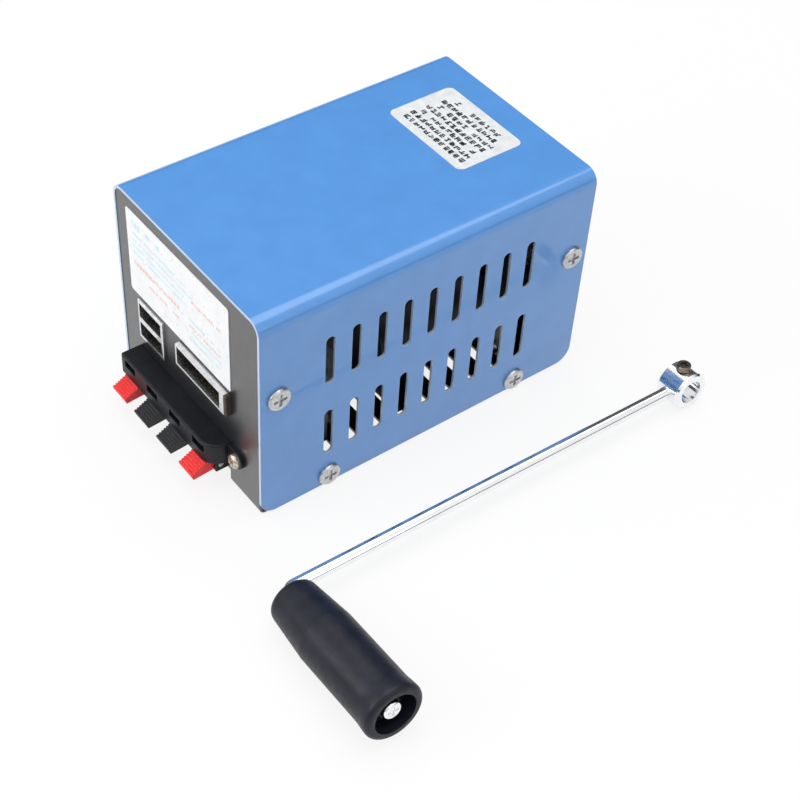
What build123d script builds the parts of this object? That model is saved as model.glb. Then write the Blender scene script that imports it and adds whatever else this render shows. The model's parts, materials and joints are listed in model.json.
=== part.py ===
from build123d import *
import math
import os

os.makedirs("parts", exist_ok=True)

# Hand crank generator for charging phones: a folded steel box with a generator and its
# gear train inside, sockets and spring terminals at the front, a drive shaft at the rear,
# and the detached crank lying beside the box. Millimetres. The origin is the middle of
# the underside of the box, the sockets face -Y and the crank lies on the +X side.

# ---------------------------------------------------------------- driving dimensions

# box
box_width = 83.0
box_length = 132.0
box_height = 83.5
cover_sheet = 1.0
cover_bend = 5.0
cover_foot_radius = 6.0
cover_floor_gap = 0.5
panel_sheet = 1.0
panel_recess = 0.2
fold_gap = 0.1
chassis_bend = 2.5

# vents in the sides of the cover
vent_width = 3.5
vent_length = 19.6
vent_pitch = 10.0
vent_count = 9
vent_lower_centre = 24.8
vent_upper_centre = 56.6

# slots in the bottom of the chassis
floor_slot_width = 3.8
floor_slot_length = 22.0
floor_slot_inset = 20.0
floor_slot_count = 8
floor_slot_first = -31.0

# folded tabs and flanges of the chassis, and the screws into them
flange_height = 9.5
flange_inset = 15.0
tab_height = 15.0
tab_depth = 12.0
lip_depth = 7.0
lip_inset = 8.0
upper_screw_setback = 6.7
upper_screw_z = 51.0
lower_screw_setback = 26.5
lower_screw_z = 4.8
case_screw_radius = 2.0
case_screw_head_radius = 4.2
case_screw_head_height = 1.4
case_screw_length = 5.0
hole_clearance = 0.2
screw_head_round = 0.6
screw_recess_share = 0.55
screw_recess_taper = 12.0
screw_recess_length = 1.15
screw_recess_width = 0.3

# labels
label_thickness = 0.2
front_label_corner = 1.0
top_label_corner = 2.5
front_label_left = -34.3
front_label_right = 25.0
front_label_rise = 1.0
front_label_top_margin = 5.5
top_label_left = -22.7
top_label_right = 16.0
top_label_setback = 10.5
top_label_length = 27.0

# circuit board behind the front panel
board_width = 72.0
board_low = 13.0
board_top_margin = 5.5
board_thickness = 1.6
board_standoff = 13.0
standoff_radius = 2.7
standoff_x = 30.0
standoff_low_z = 50.0
standoff_high_margin = 6.0
board_screw_radius = 1.5
board_screw_head_radius = 2.7
board_screw_head_height = 1.8

# stacked twin usb socket
usb_centre_x = -21.9
usb_centre_z = 34.3
usb_width = 14.6
usb_height = 16.0
usb_port_width = 13.2
usb_port_height = 5.9
usb_port_spacing = 8.1
usb_port_depth = 11.0
usb_proud = 1.2
usb_lip = 0.3
usb_tongue_width = 11.2
usb_tongue_thickness = 1.9
usb_tongue_length = 9.0
usb_contact_width = 1.1
usb_contact_thickness = 0.25
usb_contact_pitch = 2.3
usb_contact_count = 4
contact_reach = 0.85
lip_bevel_share = 0.8
tongue_bevel = 0.6

# wide output socket
socket_left = -4.4
socket_right = 25.2
socket_low = 33.8
socket_high = 42.6
socket_wall = 0.8
socket_right_wall = 2.4
socket_proud = 2.3
socket_depth = 11.5
socket_block_width = 1.3
socket_tongue_thickness = 2.4
socket_tongue_length = 9.5
socket_contact_count = 8
socket_contact_pitch = 2.2
socket_contact_width = 1.1
socket_contact_thickness = 0.3
socket_block_bevel = 0.3

# spring terminal block
terminal_first_lever = -25.2
lever_pitch = 14.0
lever_count = 4
lever_width = 8.0
lever_side_gap = 0.3
terminal_left_margin = 6.0
terminal_right_margin = 7.7
terminal_low = 12.4
terminal_high = 20.6
terminal_depth = 8.2
terminal_corner = 6.5
terminal_spigot_depth = 7.0
terminal_spigot_inset = 0.8
terminal_spigot_margin = 2.0
wire_hole_width = 6.6
wire_hole_height = 3.2
wire_hole_low = 16.2
wire_hole_depth = 13.0
pivot_depth = 3.0
pivot_z = 10.0
pivot_pin_radius = 1.0
pivot_running_gap = 0.06
pivot_rib_depth = 5.0
pivot_rib_low = 7.6
lever_reach = 13.4
lever_tip_z = 9.0
lever_tip_thickness = 2.2
lever_body_gap = 0.5
lever_rear_gap = 0.4
lever_groove_count = 5
lever_groove_width = 0.5
lever_groove_depth = 0.4
lever_tip_rake = 0.8
lever_heel_rise = 1.0
lever_heel_bevel = 0.8
lever_nose_round = 0.5
leaf_width = 6.0
leaf_thickness = 0.4
leaf_setback = 0.5
leaf_drop = 4.0
ear_x = 28.6
ear_z = 16.4
ear_radius = 3.4
ear_thickness = 1.2
ear_screw_radius = 1.5
ear_screw_head_radius = 2.8
ear_screw_head_height = 1.9
ear_screw_length = 7.0
relief_height = 6.5
relief_left = -33.0
relief_right = 23.3

# gear train: module, teeth of the wheel and of the pinion, and angle of each stage
stage_1_module = 0.8
stage_2_module = 0.7
stage_3_module = 0.6
wheel_1_teeth = 56
wheel_2_teeth = 42
wheel_3_teeth = 42
pinion_teeth = 14
stage_1_angle = 230.0
stage_2_angle = -15.0
stage_3_angle = 60.0
pressure_angle = 20.0
addendum_factor = 0.82
dedendum_factor = 1.15
backlash = 0.16

# gearbox plates and shafts
drive_z = 41.5
rear_plate_thickness = 3.0
front_plate_thickness = 2.0
plate_spacing = 23.0
wheel_1_width = 6.0
wheel_2_width = 4.0
wheel_3_width = 3.0
gear_side_gap = 2.0
pinion_overhang = 0.5
drive_shaft_radius = 4.4
drive_end_radius = 4.2
drive_end_gap = 0.5
drive_shaft_overhang = 20.0
layshaft_radius = 2.0
running_gap = 0.05
end_gap = 0.3
bush_wall = 1.5
drive_bush_wall = 2.0
rear_bearing_radius = 8.0
bearing_flange = 1.5
bearing_flange_thickness = 1.0
drive_hub_radius = 8.0
gear_hub_radius = 3.6
web_hole_count = 6
web_hole_radius = 3.7
shaft_chamfer = 0.5
shoulder_step = 1.5
shoulder_length = 1.5
plate_left = -35.2
plate_right = 35.0
plate_low = 7.0
plate_step = 12.0
plate_high = 64.0
plate_step_x = 13.0
pillar_radius = 2.5
pillar_inset = 2.6
gearbox_screw_radius = 1.5
gearbox_screw_head_radius = 2.6
gearbox_screw_head_height = 1.8
gearbox_screw_depth = 6.0
foot_depth = 18.0
foot_right = 10.0
foot_left = -30.0
foot_screw_setback = 14.0
foot_screw_inset = 6.0

# generator
can_radius = 19.0
can_wall = 1.4
can_length = 46.0
boss_radius = 5.0
boss_length = 1.8
generator_screw_circle = 13.0
generator_screw_angle = 30.0
end_bell_thickness = 4.0
end_bell_rim = 5.0
magnet_thickness = 2.8
magnet_length = 28.0
magnet_arc = 130.0
air_gap = 0.6
rotor_shaft_radius = 1.6
armature_length = 24.0
armature_rear_space = 8.0
armature_slots = 7
slot_width = 3.4
slot_mouth = 1.2
slot_inner_radius = 6.0
slot_rim = 1.8
winding_gap = 0.2
winding_round = 1.3
winding_end = 4.0
winding_inner_radius = 3.0
commutator_radius = 4.5
commutator_length = 7.0
commutator_gap = 1.5
commutator_slit = 0.4
brush_size = 4.0
brush_length = 6.0
brush_gap = 0.1
rotor_bush_radius = 3.6
rotor_bush_length = 3.5
saddle_y = 0.0
saddle_thickness = 4.0
saddle_half_width = 20.0
saddle_drop = 8.0

# parts on the back of the circuit board
capacitor_radius = 5.0
capacitor_length = 18.0
capacitor_drop = 12.0
capacitor_x = (-20.0, -8.0)
capacitor_round = 0.8
rectifier_size = 15.0
rectifier_height = 4.5
rectifier_x = 8.0
rectifier_drop = 12.0
rectifier_corner = 2.5
choke_radius = 8.0
choke_hole = 3.5
choke_height = 7.0
choke_round = 1.4
choke_x = -14.0
choke_z = 46.0
heat_sink_width = 12.0
heat_sink_low = 14.0
heat_sink_high = 46.0
heat_sink_depth = 20.0
heat_sink_base = 3.0
heat_sink_fin = 1.2
heat_sink_fins = 4
regulator_width = 10.0
regulator_height = 15.0
regulator_thickness = 4.4
header_width = 8.0
header_height = 6.0
header_depth = 6.0
header_x = 6.0
header_z = 36.0
lead_radius = 0.9
lead_bend = 6.0
lead_pitch = 4.0
lead_rise = 9.5

# crank
crank_radius = 164.6
rod_radius = 2.25
rod_bend = 3.5
rod_seat_gap = 0.6
hub_radius = 7.2
hub_length = 10.0
hub_chamfer = 0.7
hub_bore_gap = 0.1
hub_screw_radius = 1.5
hub_screw_head_radius = 2.6
hub_screw_head_height = 2.0
hub_screw_seat_gap = 0.2
hex_socket = 2.5
hex_depth = 1.2
hub_screw_chamfer = 0.35
grip_start = 3.6
grip_small_radius = 8.3
grip_small_length = 2.6
grip_small_flat = 5.2
grip_body_radius = 9.8
grip_end_radius = 10.2
grip_shoulder = 23.0
grip_flare_start = 51.0
grip_end = 58.5
grip_end_round = 1.8
grip_recess_radius = 7.3
grip_recess_depth = 6.0
grip_boss_radius = 3.8
grip_boss_drop = 3.3
grip_running_gap = 0.08
grip_play = 0.5
grip_screw_radius = 1.25
grip_screw_head_radius = 3.3
grip_screw_head_height = 1.6
grip_screw_length = 8.0
crank_x = 75.4
crank_y = -80.2
crank_yaw = 1.41

# ---------------------------------------------------------------- values that follow

inner_half_width = box_width / 2 - cover_sheet
panel_half_width = inner_half_width - fold_gap
panel_face = box_length / 2 - panel_recess
panel_back = panel_face - panel_sheet
panel_top = box_height - cover_sheet - fold_gap
cover_inner_bend = cover_bend - cover_sheet
board_front = -panel_back + board_standoff
board_rear = board_front + board_thickness
board_high = box_height - board_top_margin
standoff_high_z = board_high - standoff_high_margin
capacitor_z = board_high - capacitor_drop
rectifier_z = board_high - rectifier_drop
front_label_high = box_height - front_label_top_margin
front_label_low = socket_high + front_label_rise
top_label_rear = box_length / 2 - top_label_setback
top_label_front = top_label_rear - top_label_length
upper_screw_y = box_length / 2 - upper_screw_setback
lower_screw_y = box_length / 2 - lower_screw_setback
case_screw_places = [(side * upper_screw_y, upper_screw_z) for side in (-1, 1)]
case_screw_places += [(side * lower_screw_y, lower_screw_z) for side in (-1, 1)]
terminal_left = terminal_first_lever - terminal_left_margin
terminal_right = terminal_first_lever + (lever_count - 1) * lever_pitch + terminal_right_margin
terminal_front = -panel_face - terminal_depth
pivot_y = -panel_face - pivot_depth
lever_x = [terminal_first_lever + index * lever_pitch for index in range(lever_count)]
leaf_front = -panel_face - leaf_setback
usb_front = -panel_face - usb_proud
socket_front = -panel_face - socket_proud
socket_width = socket_right - socket_left
socket_height = socket_high - socket_low
socket_middle = ((socket_left + socket_right) / 2, (socket_low + socket_high) / 2)
spigot_left = terminal_left + terminal_spigot_inset
spigot_right = terminal_right - terminal_spigot_margin
spigot_middle = ((spigot_left + spigot_right) / 2, (terminal_low + terminal_high) / 2)
spigot_width = spigot_right - spigot_left
spigot_height = terminal_high - terminal_low - 2 * terminal_spigot_inset

rear_plate_front = panel_back - rear_plate_thickness
front_plate_rear = rear_plate_front - plate_spacing
front_plate_front = front_plate_rear - front_plate_thickness
wheel_1_rear = rear_plate_front - gear_side_gap
wheel_1_front = wheel_1_rear - wheel_1_width
wheel_2_rear = wheel_1_front - pinion_overhang - gear_side_gap
wheel_2_front = wheel_2_rear - wheel_2_width
wheel_3_rear = wheel_2_front - pinion_overhang - gear_side_gap
wheel_3_front = wheel_3_rear - wheel_3_width


def away(start, distance, angle):
    """Point in the XZ plane at a distance and angle from another one."""
    turn = math.radians(angle)
    return (start[0] + distance * math.cos(turn), start[1] + distance * math.sin(turn))


drive_axis = (0.0, drive_z)
layshaft_a = away(drive_axis, stage_1_module * (wheel_1_teeth + pinion_teeth) / 2, stage_1_angle)
layshaft_b = away(layshaft_a, stage_2_module * (wheel_2_teeth + pinion_teeth) / 2, stage_2_angle)
rotor_axis = away(layshaft_b, stage_3_module * (wheel_3_teeth + pinion_teeth) / 2, stage_3_angle)

can_rear = front_plate_front
can_front = can_rear - can_length
can_inner_radius = can_radius - can_wall
magnet_inner_radius = can_inner_radius - magnet_thickness
armature_radius = magnet_inner_radius - air_gap
armature_rear = can_rear - armature_rear_space
armature_front = armature_rear - armature_length
commutator_rear = armature_front - winding_end - commutator_gap
commutator_front = commutator_rear - commutator_length
brush_y = (commutator_front + commutator_rear) / 2

pillar_places = [
    (plate_left + pillar_inset, plate_low + pillar_inset),
    (plate_left + pillar_inset, plate_high - pillar_inset),
    (plate_right - pillar_inset, plate_step + pillar_inset),
    (plate_right - pillar_inset, plate_high - pillar_inset),
]
generator_screw_places = [
    away(rotor_axis, generator_screw_circle, generator_screw_angle),
    away(rotor_axis, generator_screw_circle, generator_screw_angle + 180.0),
]
foot_screw_places = [
    (foot_left + foot_screw_inset, front_plate_rear - foot_screw_setback),
    (foot_right - foot_screw_inset, front_plate_rear - foot_screw_setback),
]

# the crank rests on the small end and the shoulder of its grip, and on the rim of its hub
grip_small_end = grip_start + grip_small_length
crank_tilt = math.atan2(grip_body_radius - grip_small_radius, grip_shoulder - grip_small_end)
crank_z = grip_small_radius * math.cos(crank_tilt) - grip_small_end * math.sin(crank_tilt)
hub_z = hub_radius * math.cos(crank_tilt) + (hub_length / 2 - hub_chamfer) * math.sin(crank_tilt)
crank_pitch = math.asin((hub_z - crank_z) / crank_radius)
heading = math.radians(crank_yaw)
level_heading = Vector(math.sin(heading), math.cos(heading), 0)
rod_direction = level_heading * math.cos(crank_pitch) + Vector(0, 0, math.sin(crank_pitch))
level_side = rod_direction.cross(Vector(0, 0, 1)).normalized()
level_up = level_side.cross(rod_direction)
grip_direction = level_side * math.cos(crank_tilt) + level_up * math.sin(crank_tilt)
crank_plane = Plane(origin=(crank_x, crank_y, crank_z), x_dir=grip_direction,
                    z_dir=grip_direction.cross(rod_direction))
hub_bore_radius = drive_end_radius + hub_bore_gap
rod_end = crank_radius - hub_bore_radius - rod_seat_gap
recess_floor = grip_end - grip_recess_depth
boss_end = grip_end - grip_boss_drop
spindle_end = boss_end + grip_play
grip_bore_radius = rod_radius + grip_running_gap


def across(y):
    """Plane square to the Y axis at a given y, seen from the front: local axes are X and Z."""
    return Plane.XZ.offset(-y)


def finish(builder, name):
    """Label a finished piece and write it out."""
    builder.part.label = name
    export_step(builder.part, "parts/" + name + ".step")


def finish_crank(builder, name):
    """Lay a finished crank piece where it rests on the floor, label it and write it out."""
    laid = crank_plane.location * builder.part
    laid.label = name
    export_step(laid, "parts/" + name + ".step")


# ---------------------------------------------------------------- cover

with BuildPart() as cover:
    with BuildSketch(across(box_length / 2)):
        with Locations((0, (box_height + cover_floor_gap) / 2)):
            Rectangle(box_width, box_height - cover_floor_gap)
    extrude(amount=box_length)
    fillet(cover.edges().filter_by(Axis.Y).group_by(Axis.Z)[-1], radius=cover_bend)
    fillet(cover.edges().filter_by(Axis.X).group_by(Axis.Z)[0], radius=cover_foot_radius)
    with BuildSketch(across(box_length / 2)) as cover_room:
        with Locations((0, (box_height - cover_sheet) / 2)):
            Rectangle(2 * inner_half_width, box_height - cover_sheet)
        fillet(cover_room.vertices().group_by(Axis.Y)[-1], radius=cover_inner_bend)
    extrude(amount=box_length, mode=Mode.SUBTRACT)
    with BuildSketch(Plane.YZ):
        with Locations((0, vent_lower_centre), (0, vent_upper_centre)):
            with GridLocations(vent_pitch, 1, vent_count, 1):
                SlotOverall(vent_length, vent_width, rotation=90)
        with Locations(*case_screw_places):
            Circle(case_screw_radius + hole_clearance)
    extrude(amount=box_width, both=True, mode=Mode.SUBTRACT)
finish(cover, "cover")

# ---------------------------------------------------------------- chassis

with BuildPart() as chassis:
    with BuildSketch(Plane.YZ.offset(-panel_half_width)):
        with Locations((0, panel_top / 2)):
            Rectangle(2 * panel_face, panel_top)
        with Locations((0, panel_top / 2 + panel_sheet)):
            Rectangle(2 * panel_back, panel_top, mode=Mode.SUBTRACT)
    extrude(amount=2 * panel_half_width)
    fillet(chassis.edges().filter_by(Axis.Y).group_by(Axis.Z)[-1], radius=cover_inner_bend - fold_gap)
    fillet(chassis.edges().filter_by(Axis.X).group_by(Axis.Z)[0], radius=chassis_bend)
    # upright flanges along the bottom
    for side in (-1, 1):
        with BuildSketch(Plane.XY):
            with Locations((side * (panel_half_width - panel_sheet / 2), 0)):
                Rectangle(panel_sheet, box_length - 2 * flange_inset)
        extrude(amount=flange_height)
    # tabs folded back from the sides of both panels, and the lips along their tops
    tab_low = upper_screw_z - tab_height / 2
    for side in (-1, 1):
        for end in (-1, 1):
            with BuildSketch(Plane.XY.offset(tab_low)):
                tab_x = side * (panel_half_width - panel_sheet / 2)
                with Locations((tab_x, end * (panel_back - tab_depth / 2))):
                    Rectangle(panel_sheet, tab_depth)
            extrude(amount=tab_height)
    for end in (-1, 1):
        with BuildSketch(Plane.XY.offset(panel_top - panel_sheet)):
            with Locations((0, end * (panel_back - lip_depth / 2))):
                Rectangle(2 * (panel_half_width - lip_inset), lip_depth)
        extrude(amount=panel_sheet)
    # slots in the bottom
    with BuildSketch(Plane.XY):
        for index in range(floor_slot_count):
            with Locations((floor_slot_inset, floor_slot_first + index * vent_pitch),
                           (-floor_slot_inset, floor_slot_first + index * vent_pitch)):
                SlotOverall(floor_slot_length, floor_slot_width)
        with Locations(*foot_screw_places):
            Circle(gearbox_screw_radius)
    extrude(amount=panel_sheet, mode=Mode.SUBTRACT)
    # screw holes in flanges and tabs
    with BuildSketch(Plane.YZ):
        with Locations(*case_screw_places):
            Circle(case_screw_radius)
    extrude(amount=box_width, both=True, mode=Mode.SUBTRACT)
    # openings of the front panel
    with BuildSketch(across(-panel_back)):
        with Locations((usb_centre_x, usb_centre_z)):
            Rectangle(usb_width + 2 * hole_clearance, usb_height + 2 * hole_clearance)
        with Locations(socket_middle):
            Rectangle(socket_width + 2 * hole_clearance, socket_height + 2 * hole_clearance)
        with Locations(spigot_middle):
            Rectangle(spigot_width + 2 * hole_clearance, spigot_height + 2 * hole_clearance)
        with Locations((ear_x, ear_z)):
            Circle(ear_screw_radius)
    extrude(amount=panel_sheet, mode=Mode.SUBTRACT)
    # relief under the terminal levers
    with BuildSketch(across(-panel_back + chassis_bend)):
        with Locations(((relief_left + relief_right) / 2, relief_height / 2)):
            Rectangle(relief_right - relief_left, relief_height)
    extrude(amount=panel_sheet + chassis_bend, mode=Mode.SUBTRACT)
    # holes of the rear panel
    with BuildSketch(across(panel_face)):
        with Locations(drive_axis):
            Circle(rear_bearing_radius + hole_clearance)
        with Locations(*pillar_places):
            Circle(gearbox_screw_radius)
    extrude(amount=panel_sheet, mode=Mode.SUBTRACT)
finish(chassis, "chassis")

# ---------------------------------------------------------------- case screws and labels


def pan_screw(seat, head_radius, head_height, radius, length):
    """Pan-head screw with a cross recess: the head lies on the seat plane, the shank below it."""
    with BuildPart() as screw:
        with BuildSketch(seat):
            Circle(head_radius)
        extrude(amount=head_height)
        head_top = screw.faces().sort_by(Axis(seat.origin, seat.z_dir))[-1]
        fillet(head_top.edges(), radius=head_height * screw_head_round)
        with BuildSketch(seat):
            Circle(radius)
        extrude(amount=-length)
        with BuildSketch(seat.offset(head_height)):
            Rectangle(head_radius * screw_recess_length, head_radius * screw_recess_width)
            Rectangle(head_radius * screw_recess_width, head_radius * screw_recess_length)
        extrude(amount=-head_height * screw_recess_share, taper=screw_recess_taper, mode=Mode.SUBTRACT)
    return screw.part


for side, name in ((1, "cover_screws_right"), (-1, "cover_screws_left")):
    seats = [Plane(origin=(side * box_width / 2, y, z), x_dir=(0, 0, 1), z_dir=(side, 0, 0))
             for y, z in case_screw_places]
    screws = [pan_screw(seat, case_screw_head_radius, case_screw_head_height, case_screw_radius,
                        case_screw_length) for seat in seats]
    with BuildPart() as case_screws:
        add(screws)
    finish(case_screws, name)

with BuildPart() as front_label:
    with BuildSketch(across(-panel_face)):
        with Locations((front_label_left, front_label_low)):
            RectangleRounded(front_label_right - front_label_left, front_label_high - front_label_low,
                             front_label_corner, align=(Align.MIN, Align.MIN))
    extrude(amount=label_thickness)
finish(front_label, "front_label")

with BuildPart() as top_label:
    with BuildSketch(Plane.XY.offset(box_height)):
        with Locations((top_label_left, top_label_front)):
            RectangleRounded(top_label_right - top_label_left, top_label_rear - top_label_front,
                             top_label_corner, align=(Align.MIN, Align.MIN))
    extrude(amount=label_thickness)
finish(top_label, "top_label")

# ---------------------------------------------------------------- circuit board and its posts

standoff_places = [(standoff_x, standoff_low_z), (-standoff_x, standoff_low_z),
                   (standoff_x, standoff_high_z), (-standoff_x, standoff_high_z)]

with BuildPart() as circuit_board:
    with BuildSketch(across(board_rear)):
        with Locations((0, (board_low + board_high) / 2)):
            Rectangle(board_width, board_high - board_low)
        with Locations(*standoff_places):
            Circle(board_screw_radius, mode=Mode.SUBTRACT)
    extrude(amount=board_thickness)
finish(circuit_board, "circuit_board")

with BuildPart() as board_standoffs:
    with BuildSketch(across(board_front)):
        with Locations(*standoff_places):
            RegularPolygon(standoff_radius, 6)
    extrude(amount=board_standoff)
    with BuildSketch(across(board_front)):
        with Locations(*standoff_places):
            Circle(board_screw_radius)
    extrude(amount=board_standoff / 2, mode=Mode.SUBTRACT)
finish(board_standoffs, "board_standoffs")

seats = [Plane(origin=(x, board_rear, z), x_dir=(1, 0, 0), z_dir=(0, 1, 0)) for x, z in standoff_places]
screws = [pan_screw(seat, board_screw_head_radius, board_screw_head_height, board_screw_radius,
                    board_thickness + board_standoff / 2) for seat in seats]
with BuildPart() as board_screws:
    add(screws)
finish(board_screws, "board_screws")

# ---------------------------------------------------------------- stacked usb socket

usb_port_z = [usb_centre_z + side * usb_port_spacing / 2 for side in (-1, 1)]
usb_port_end = usb_front + usb_port_depth

with BuildPart() as usb_shell:
    with BuildSketch(across(board_front)):
        with Locations((usb_centre_x, usb_centre_z)):
            Rectangle(usb_width, usb_height)
    extrude(amount=board_front - usb_front)
    with BuildSketch(across(-panel_face)):
        with Locations((usb_centre_x, usb_centre_z)):
            Rectangle(usb_width + 2 * usb_lip, usb_height + 2 * usb_lip)
    extrude(amount=usb_proud)
    chamfer(usb_shell.faces().sort_by(Axis.Y)[0].edges(), length=usb_lip * lip_bevel_share)
    with BuildSketch(across(usb_port_end)):
        with Locations(*[(usb_centre_x, z) for z in usb_port_z]):
            Rectangle(usb_port_width, usb_port_height)
    extrude(amount=usb_port_depth, mode=Mode.SUBTRACT)
finish(usb_shell, "usb_shell")

tongue_drop = usb_port_height / 2 - usb_tongue_thickness
with BuildPart() as usb_tongues:
    with BuildSketch(across(usb_port_end)):
        with Locations(*[(usb_centre_x, z + (tongue_drop + usb_tongue_thickness) / 2) for z in usb_port_z]):
            Rectangle(usb_tongue_width, usb_tongue_thickness)
    extrude(amount=usb_tongue_length)
    fillet(usb_tongues.faces().group_by(Axis.Y)[0].edges().filter_by(Axis.Z), radius=tongue_bevel)
finish(usb_tongues, "usb_tongues")

with BuildPart() as usb_contacts:
    with BuildSketch(across(usb_port_end)):
        for z in usb_port_z:
            with Locations((usb_centre_x, z + tongue_drop / 2 - usb_contact_thickness / 2)):
                with GridLocations(usb_contact_pitch, 1, usb_contact_count, 1):
                    Rectangle(usb_contact_width, usb_contact_thickness)
    extrude(amount=usb_tongue_length * contact_reach)
finish(usb_contacts, "usb_contacts")

# ---------------------------------------------------------------- wide output socket

socket_end = socket_front + socket_depth
socket_inner_low = socket_low + socket_wall
socket_inner_high = socket_high - socket_wall
socket_block_left = socket_right - socket_block_width
socket_inner_left = socket_left + socket_wall
socket_inner_right = socket_block_left - socket_right_wall

with BuildPart() as socket_shell:
    with BuildSketch(across(board_front)):
        with Locations((socket_left, socket_low)):
            Rectangle(socket_block_left - socket_left, socket_height, align=(Align.MIN, Align.MIN))
    extrude(amount=board_front - socket_front)
    with BuildSketch(across(socket_end)):
        with Locations((socket_inner_left, socket_inner_low)):
            Rectangle(socket_inner_right - socket_inner_left, socket_inner_high - socket_inner_low,
                      align=(Align.MIN, Align.MIN))
    extrude(amount=socket_depth, mode=Mode.SUBTRACT)
finish(socket_shell, "socket_shell")

# plastic end piece on the right of the metal shell
with BuildPart() as socket_block:
    with BuildSketch(across(board_front)):
        with Locations((socket_block_left, socket_low)):
            Rectangle(socket_block_width, socket_height, align=(Align.MIN, Align.MIN))
    extrude(amount=board_front - socket_front)
    chamfer(socket_block.faces().sort_by(Axis.Y)[0].edges(), length=socket_block_bevel)
finish(socket_block, "socket_block")

tongue_left = socket_inner_left + socket_wall
tongue_right = socket_inner_right - socket_wall
tongue_middle = ((tongue_left + tongue_right) / 2, socket_middle[1])
with BuildPart() as socket_tongue:
    with BuildSketch(across(socket_end)):
        with Locations(tongue_middle):
            Rectangle(tongue_right - tongue_left, socket_tongue_thickness)
    extrude(amount=socket_tongue_length)
    chamfer(socket_tongue.faces().sort_by(Axis.Y)[0].edges().filter_by(Axis.X), length=tongue_bevel)
finish(socket_tongue, "socket_tongue")

with BuildPart() as socket_contacts:
    with BuildSketch(across(socket_end)):
        for side in (-1, 1):
            shift = side * (socket_tongue_thickness + socket_contact_thickness) / 2
            with Locations((tongue_middle[0], tongue_middle[1] + shift)):
                with GridLocations(socket_contact_pitch, 1, socket_contact_count, 1):
                    Rectangle(socket_contact_width, socket_contact_thickness)
    extrude(amount=socket_tongue_length * contact_reach)
finish(socket_contacts, "socket_contacts")

# ---------------------------------------------------------------- spring terminal block

strip_top = wire_hole_low
strip_bottom = wire_hole_low - leaf_thickness
spigot_rear = -panel_face + terminal_spigot_depth

with BuildPart() as terminal_housing:
    with BuildSketch(Plane.XY.offset(terminal_low)):
        with Locations(((terminal_left + terminal_right) / 2, terminal_front + terminal_depth / 2)):
            Rectangle(terminal_right - terminal_left, terminal_depth)
    extrude(amount=terminal_high - terminal_low)
    upright = terminal_housing.edges().filter_by(Axis.Z).group_by(Axis.Y)[0].sort_by(Axis.X)
    fillet(upright[-1], radius=terminal_corner)
    fillet(upright[0], radius=terminal_spigot_inset)
    fillet(terminal_housing.edges().filter_by(Axis.X).group_by(Axis.Y)[0].sort_by(Axis.Z)[-1],
           radius=terminal_spigot_inset)
    # spigot that passes through the panel
    with BuildSketch(across(-panel_face)):
        with Locations(spigot_middle):
            Rectangle(spigot_width, spigot_height)
    extrude(amount=-terminal_spigot_depth)
    # screwed ear
    with BuildSketch(across(-panel_face)):
        with Locations((ear_x, ear_z)):
            Circle(ear_radius)
        with Locations(((ear_x + terminal_right - terminal_corner) / 2, ear_z)):
            Rectangle(ear_x - terminal_right + terminal_corner, 2 * ear_radius)
    extrude(amount=ear_thickness)
    with BuildSketch(across(-panel_face)):
        with Locations((ear_x, ear_z)):
            Circle(ear_screw_radius)
    extrude(amount=ear_thickness, mode=Mode.SUBTRACT)
    # ribs that carry the pivot pin under the block
    for index in range(lever_count + 1):
        rib_middle = terminal_first_lever + (index - 0.5) * lever_pitch
        rib_half = (lever_pitch - lever_width) / 2 - lever_side_gap
        rib_left = max(rib_middle - rib_half, terminal_left)
        rib_right = min(rib_middle + rib_half, spigot_right)
        with BuildSketch(Plane.YZ.offset(rib_left)):
            with Locations((-panel_face - pivot_rib_depth / 2, (pivot_rib_low + terminal_low) / 2)):
                Rectangle(pivot_rib_depth, terminal_low - pivot_rib_low)
        extrude(amount=rib_right - rib_left)
    with BuildSketch(Plane.YZ.offset(terminal_left)):
        with Locations((pivot_y, pivot_z)):
            Circle(pivot_pin_radius)
    extrude(amount=terminal_right - terminal_left, mode=Mode.SUBTRACT)
    # wire holes, and the slots of the contact strips below them
    for x in lever_x:
        with BuildSketch(across(terminal_front + wire_hole_depth)):
            with Locations((x, wire_hole_low + wire_hole_height / 2)):
                Rectangle(wire_hole_width, wire_hole_height)
        extrude(amount=wire_hole_depth, mode=Mode.SUBTRACT)
        with BuildSketch(Plane.YZ.offset(x - leaf_width / 2)):
            with BuildLine():
                Polyline((leaf_front, terminal_low), (leaf_front, strip_top), (spigot_rear, strip_top),
                         (spigot_rear, strip_bottom), (leaf_front + leaf_thickness, strip_bottom),
                         (leaf_front + leaf_thickness, terminal_low), close=True)
            make_face()
        extrude(amount=leaf_width, mode=Mode.SUBTRACT)
finish(terminal_housing, "terminal_housing")

with BuildPart() as contact_strips:
    for x in lever_x:
        with BuildSketch(Plane.YZ.offset(x - leaf_width / 2)):
            with BuildLine():
                Polyline((leaf_front, terminal_low - leaf_drop), (leaf_front, strip_top),
                         (board_front, strip_top), (board_front, strip_bottom),
                         (leaf_front + leaf_thickness, strip_bottom),
                         (leaf_front + leaf_thickness, terminal_low - leaf_drop), close=True)
            make_face()
        extrude(amount=leaf_width)
finish(contact_strips, "contact_strips")

with BuildPart() as lever_pin:
    with BuildSketch(Plane.YZ.offset(terminal_left)):
        with Locations((pivot_y, pivot_z)):
            Circle(pivot_pin_radius)
    extrude(amount=spigot_right - terminal_left)
finish(lever_pin, "lever_pin")

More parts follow.
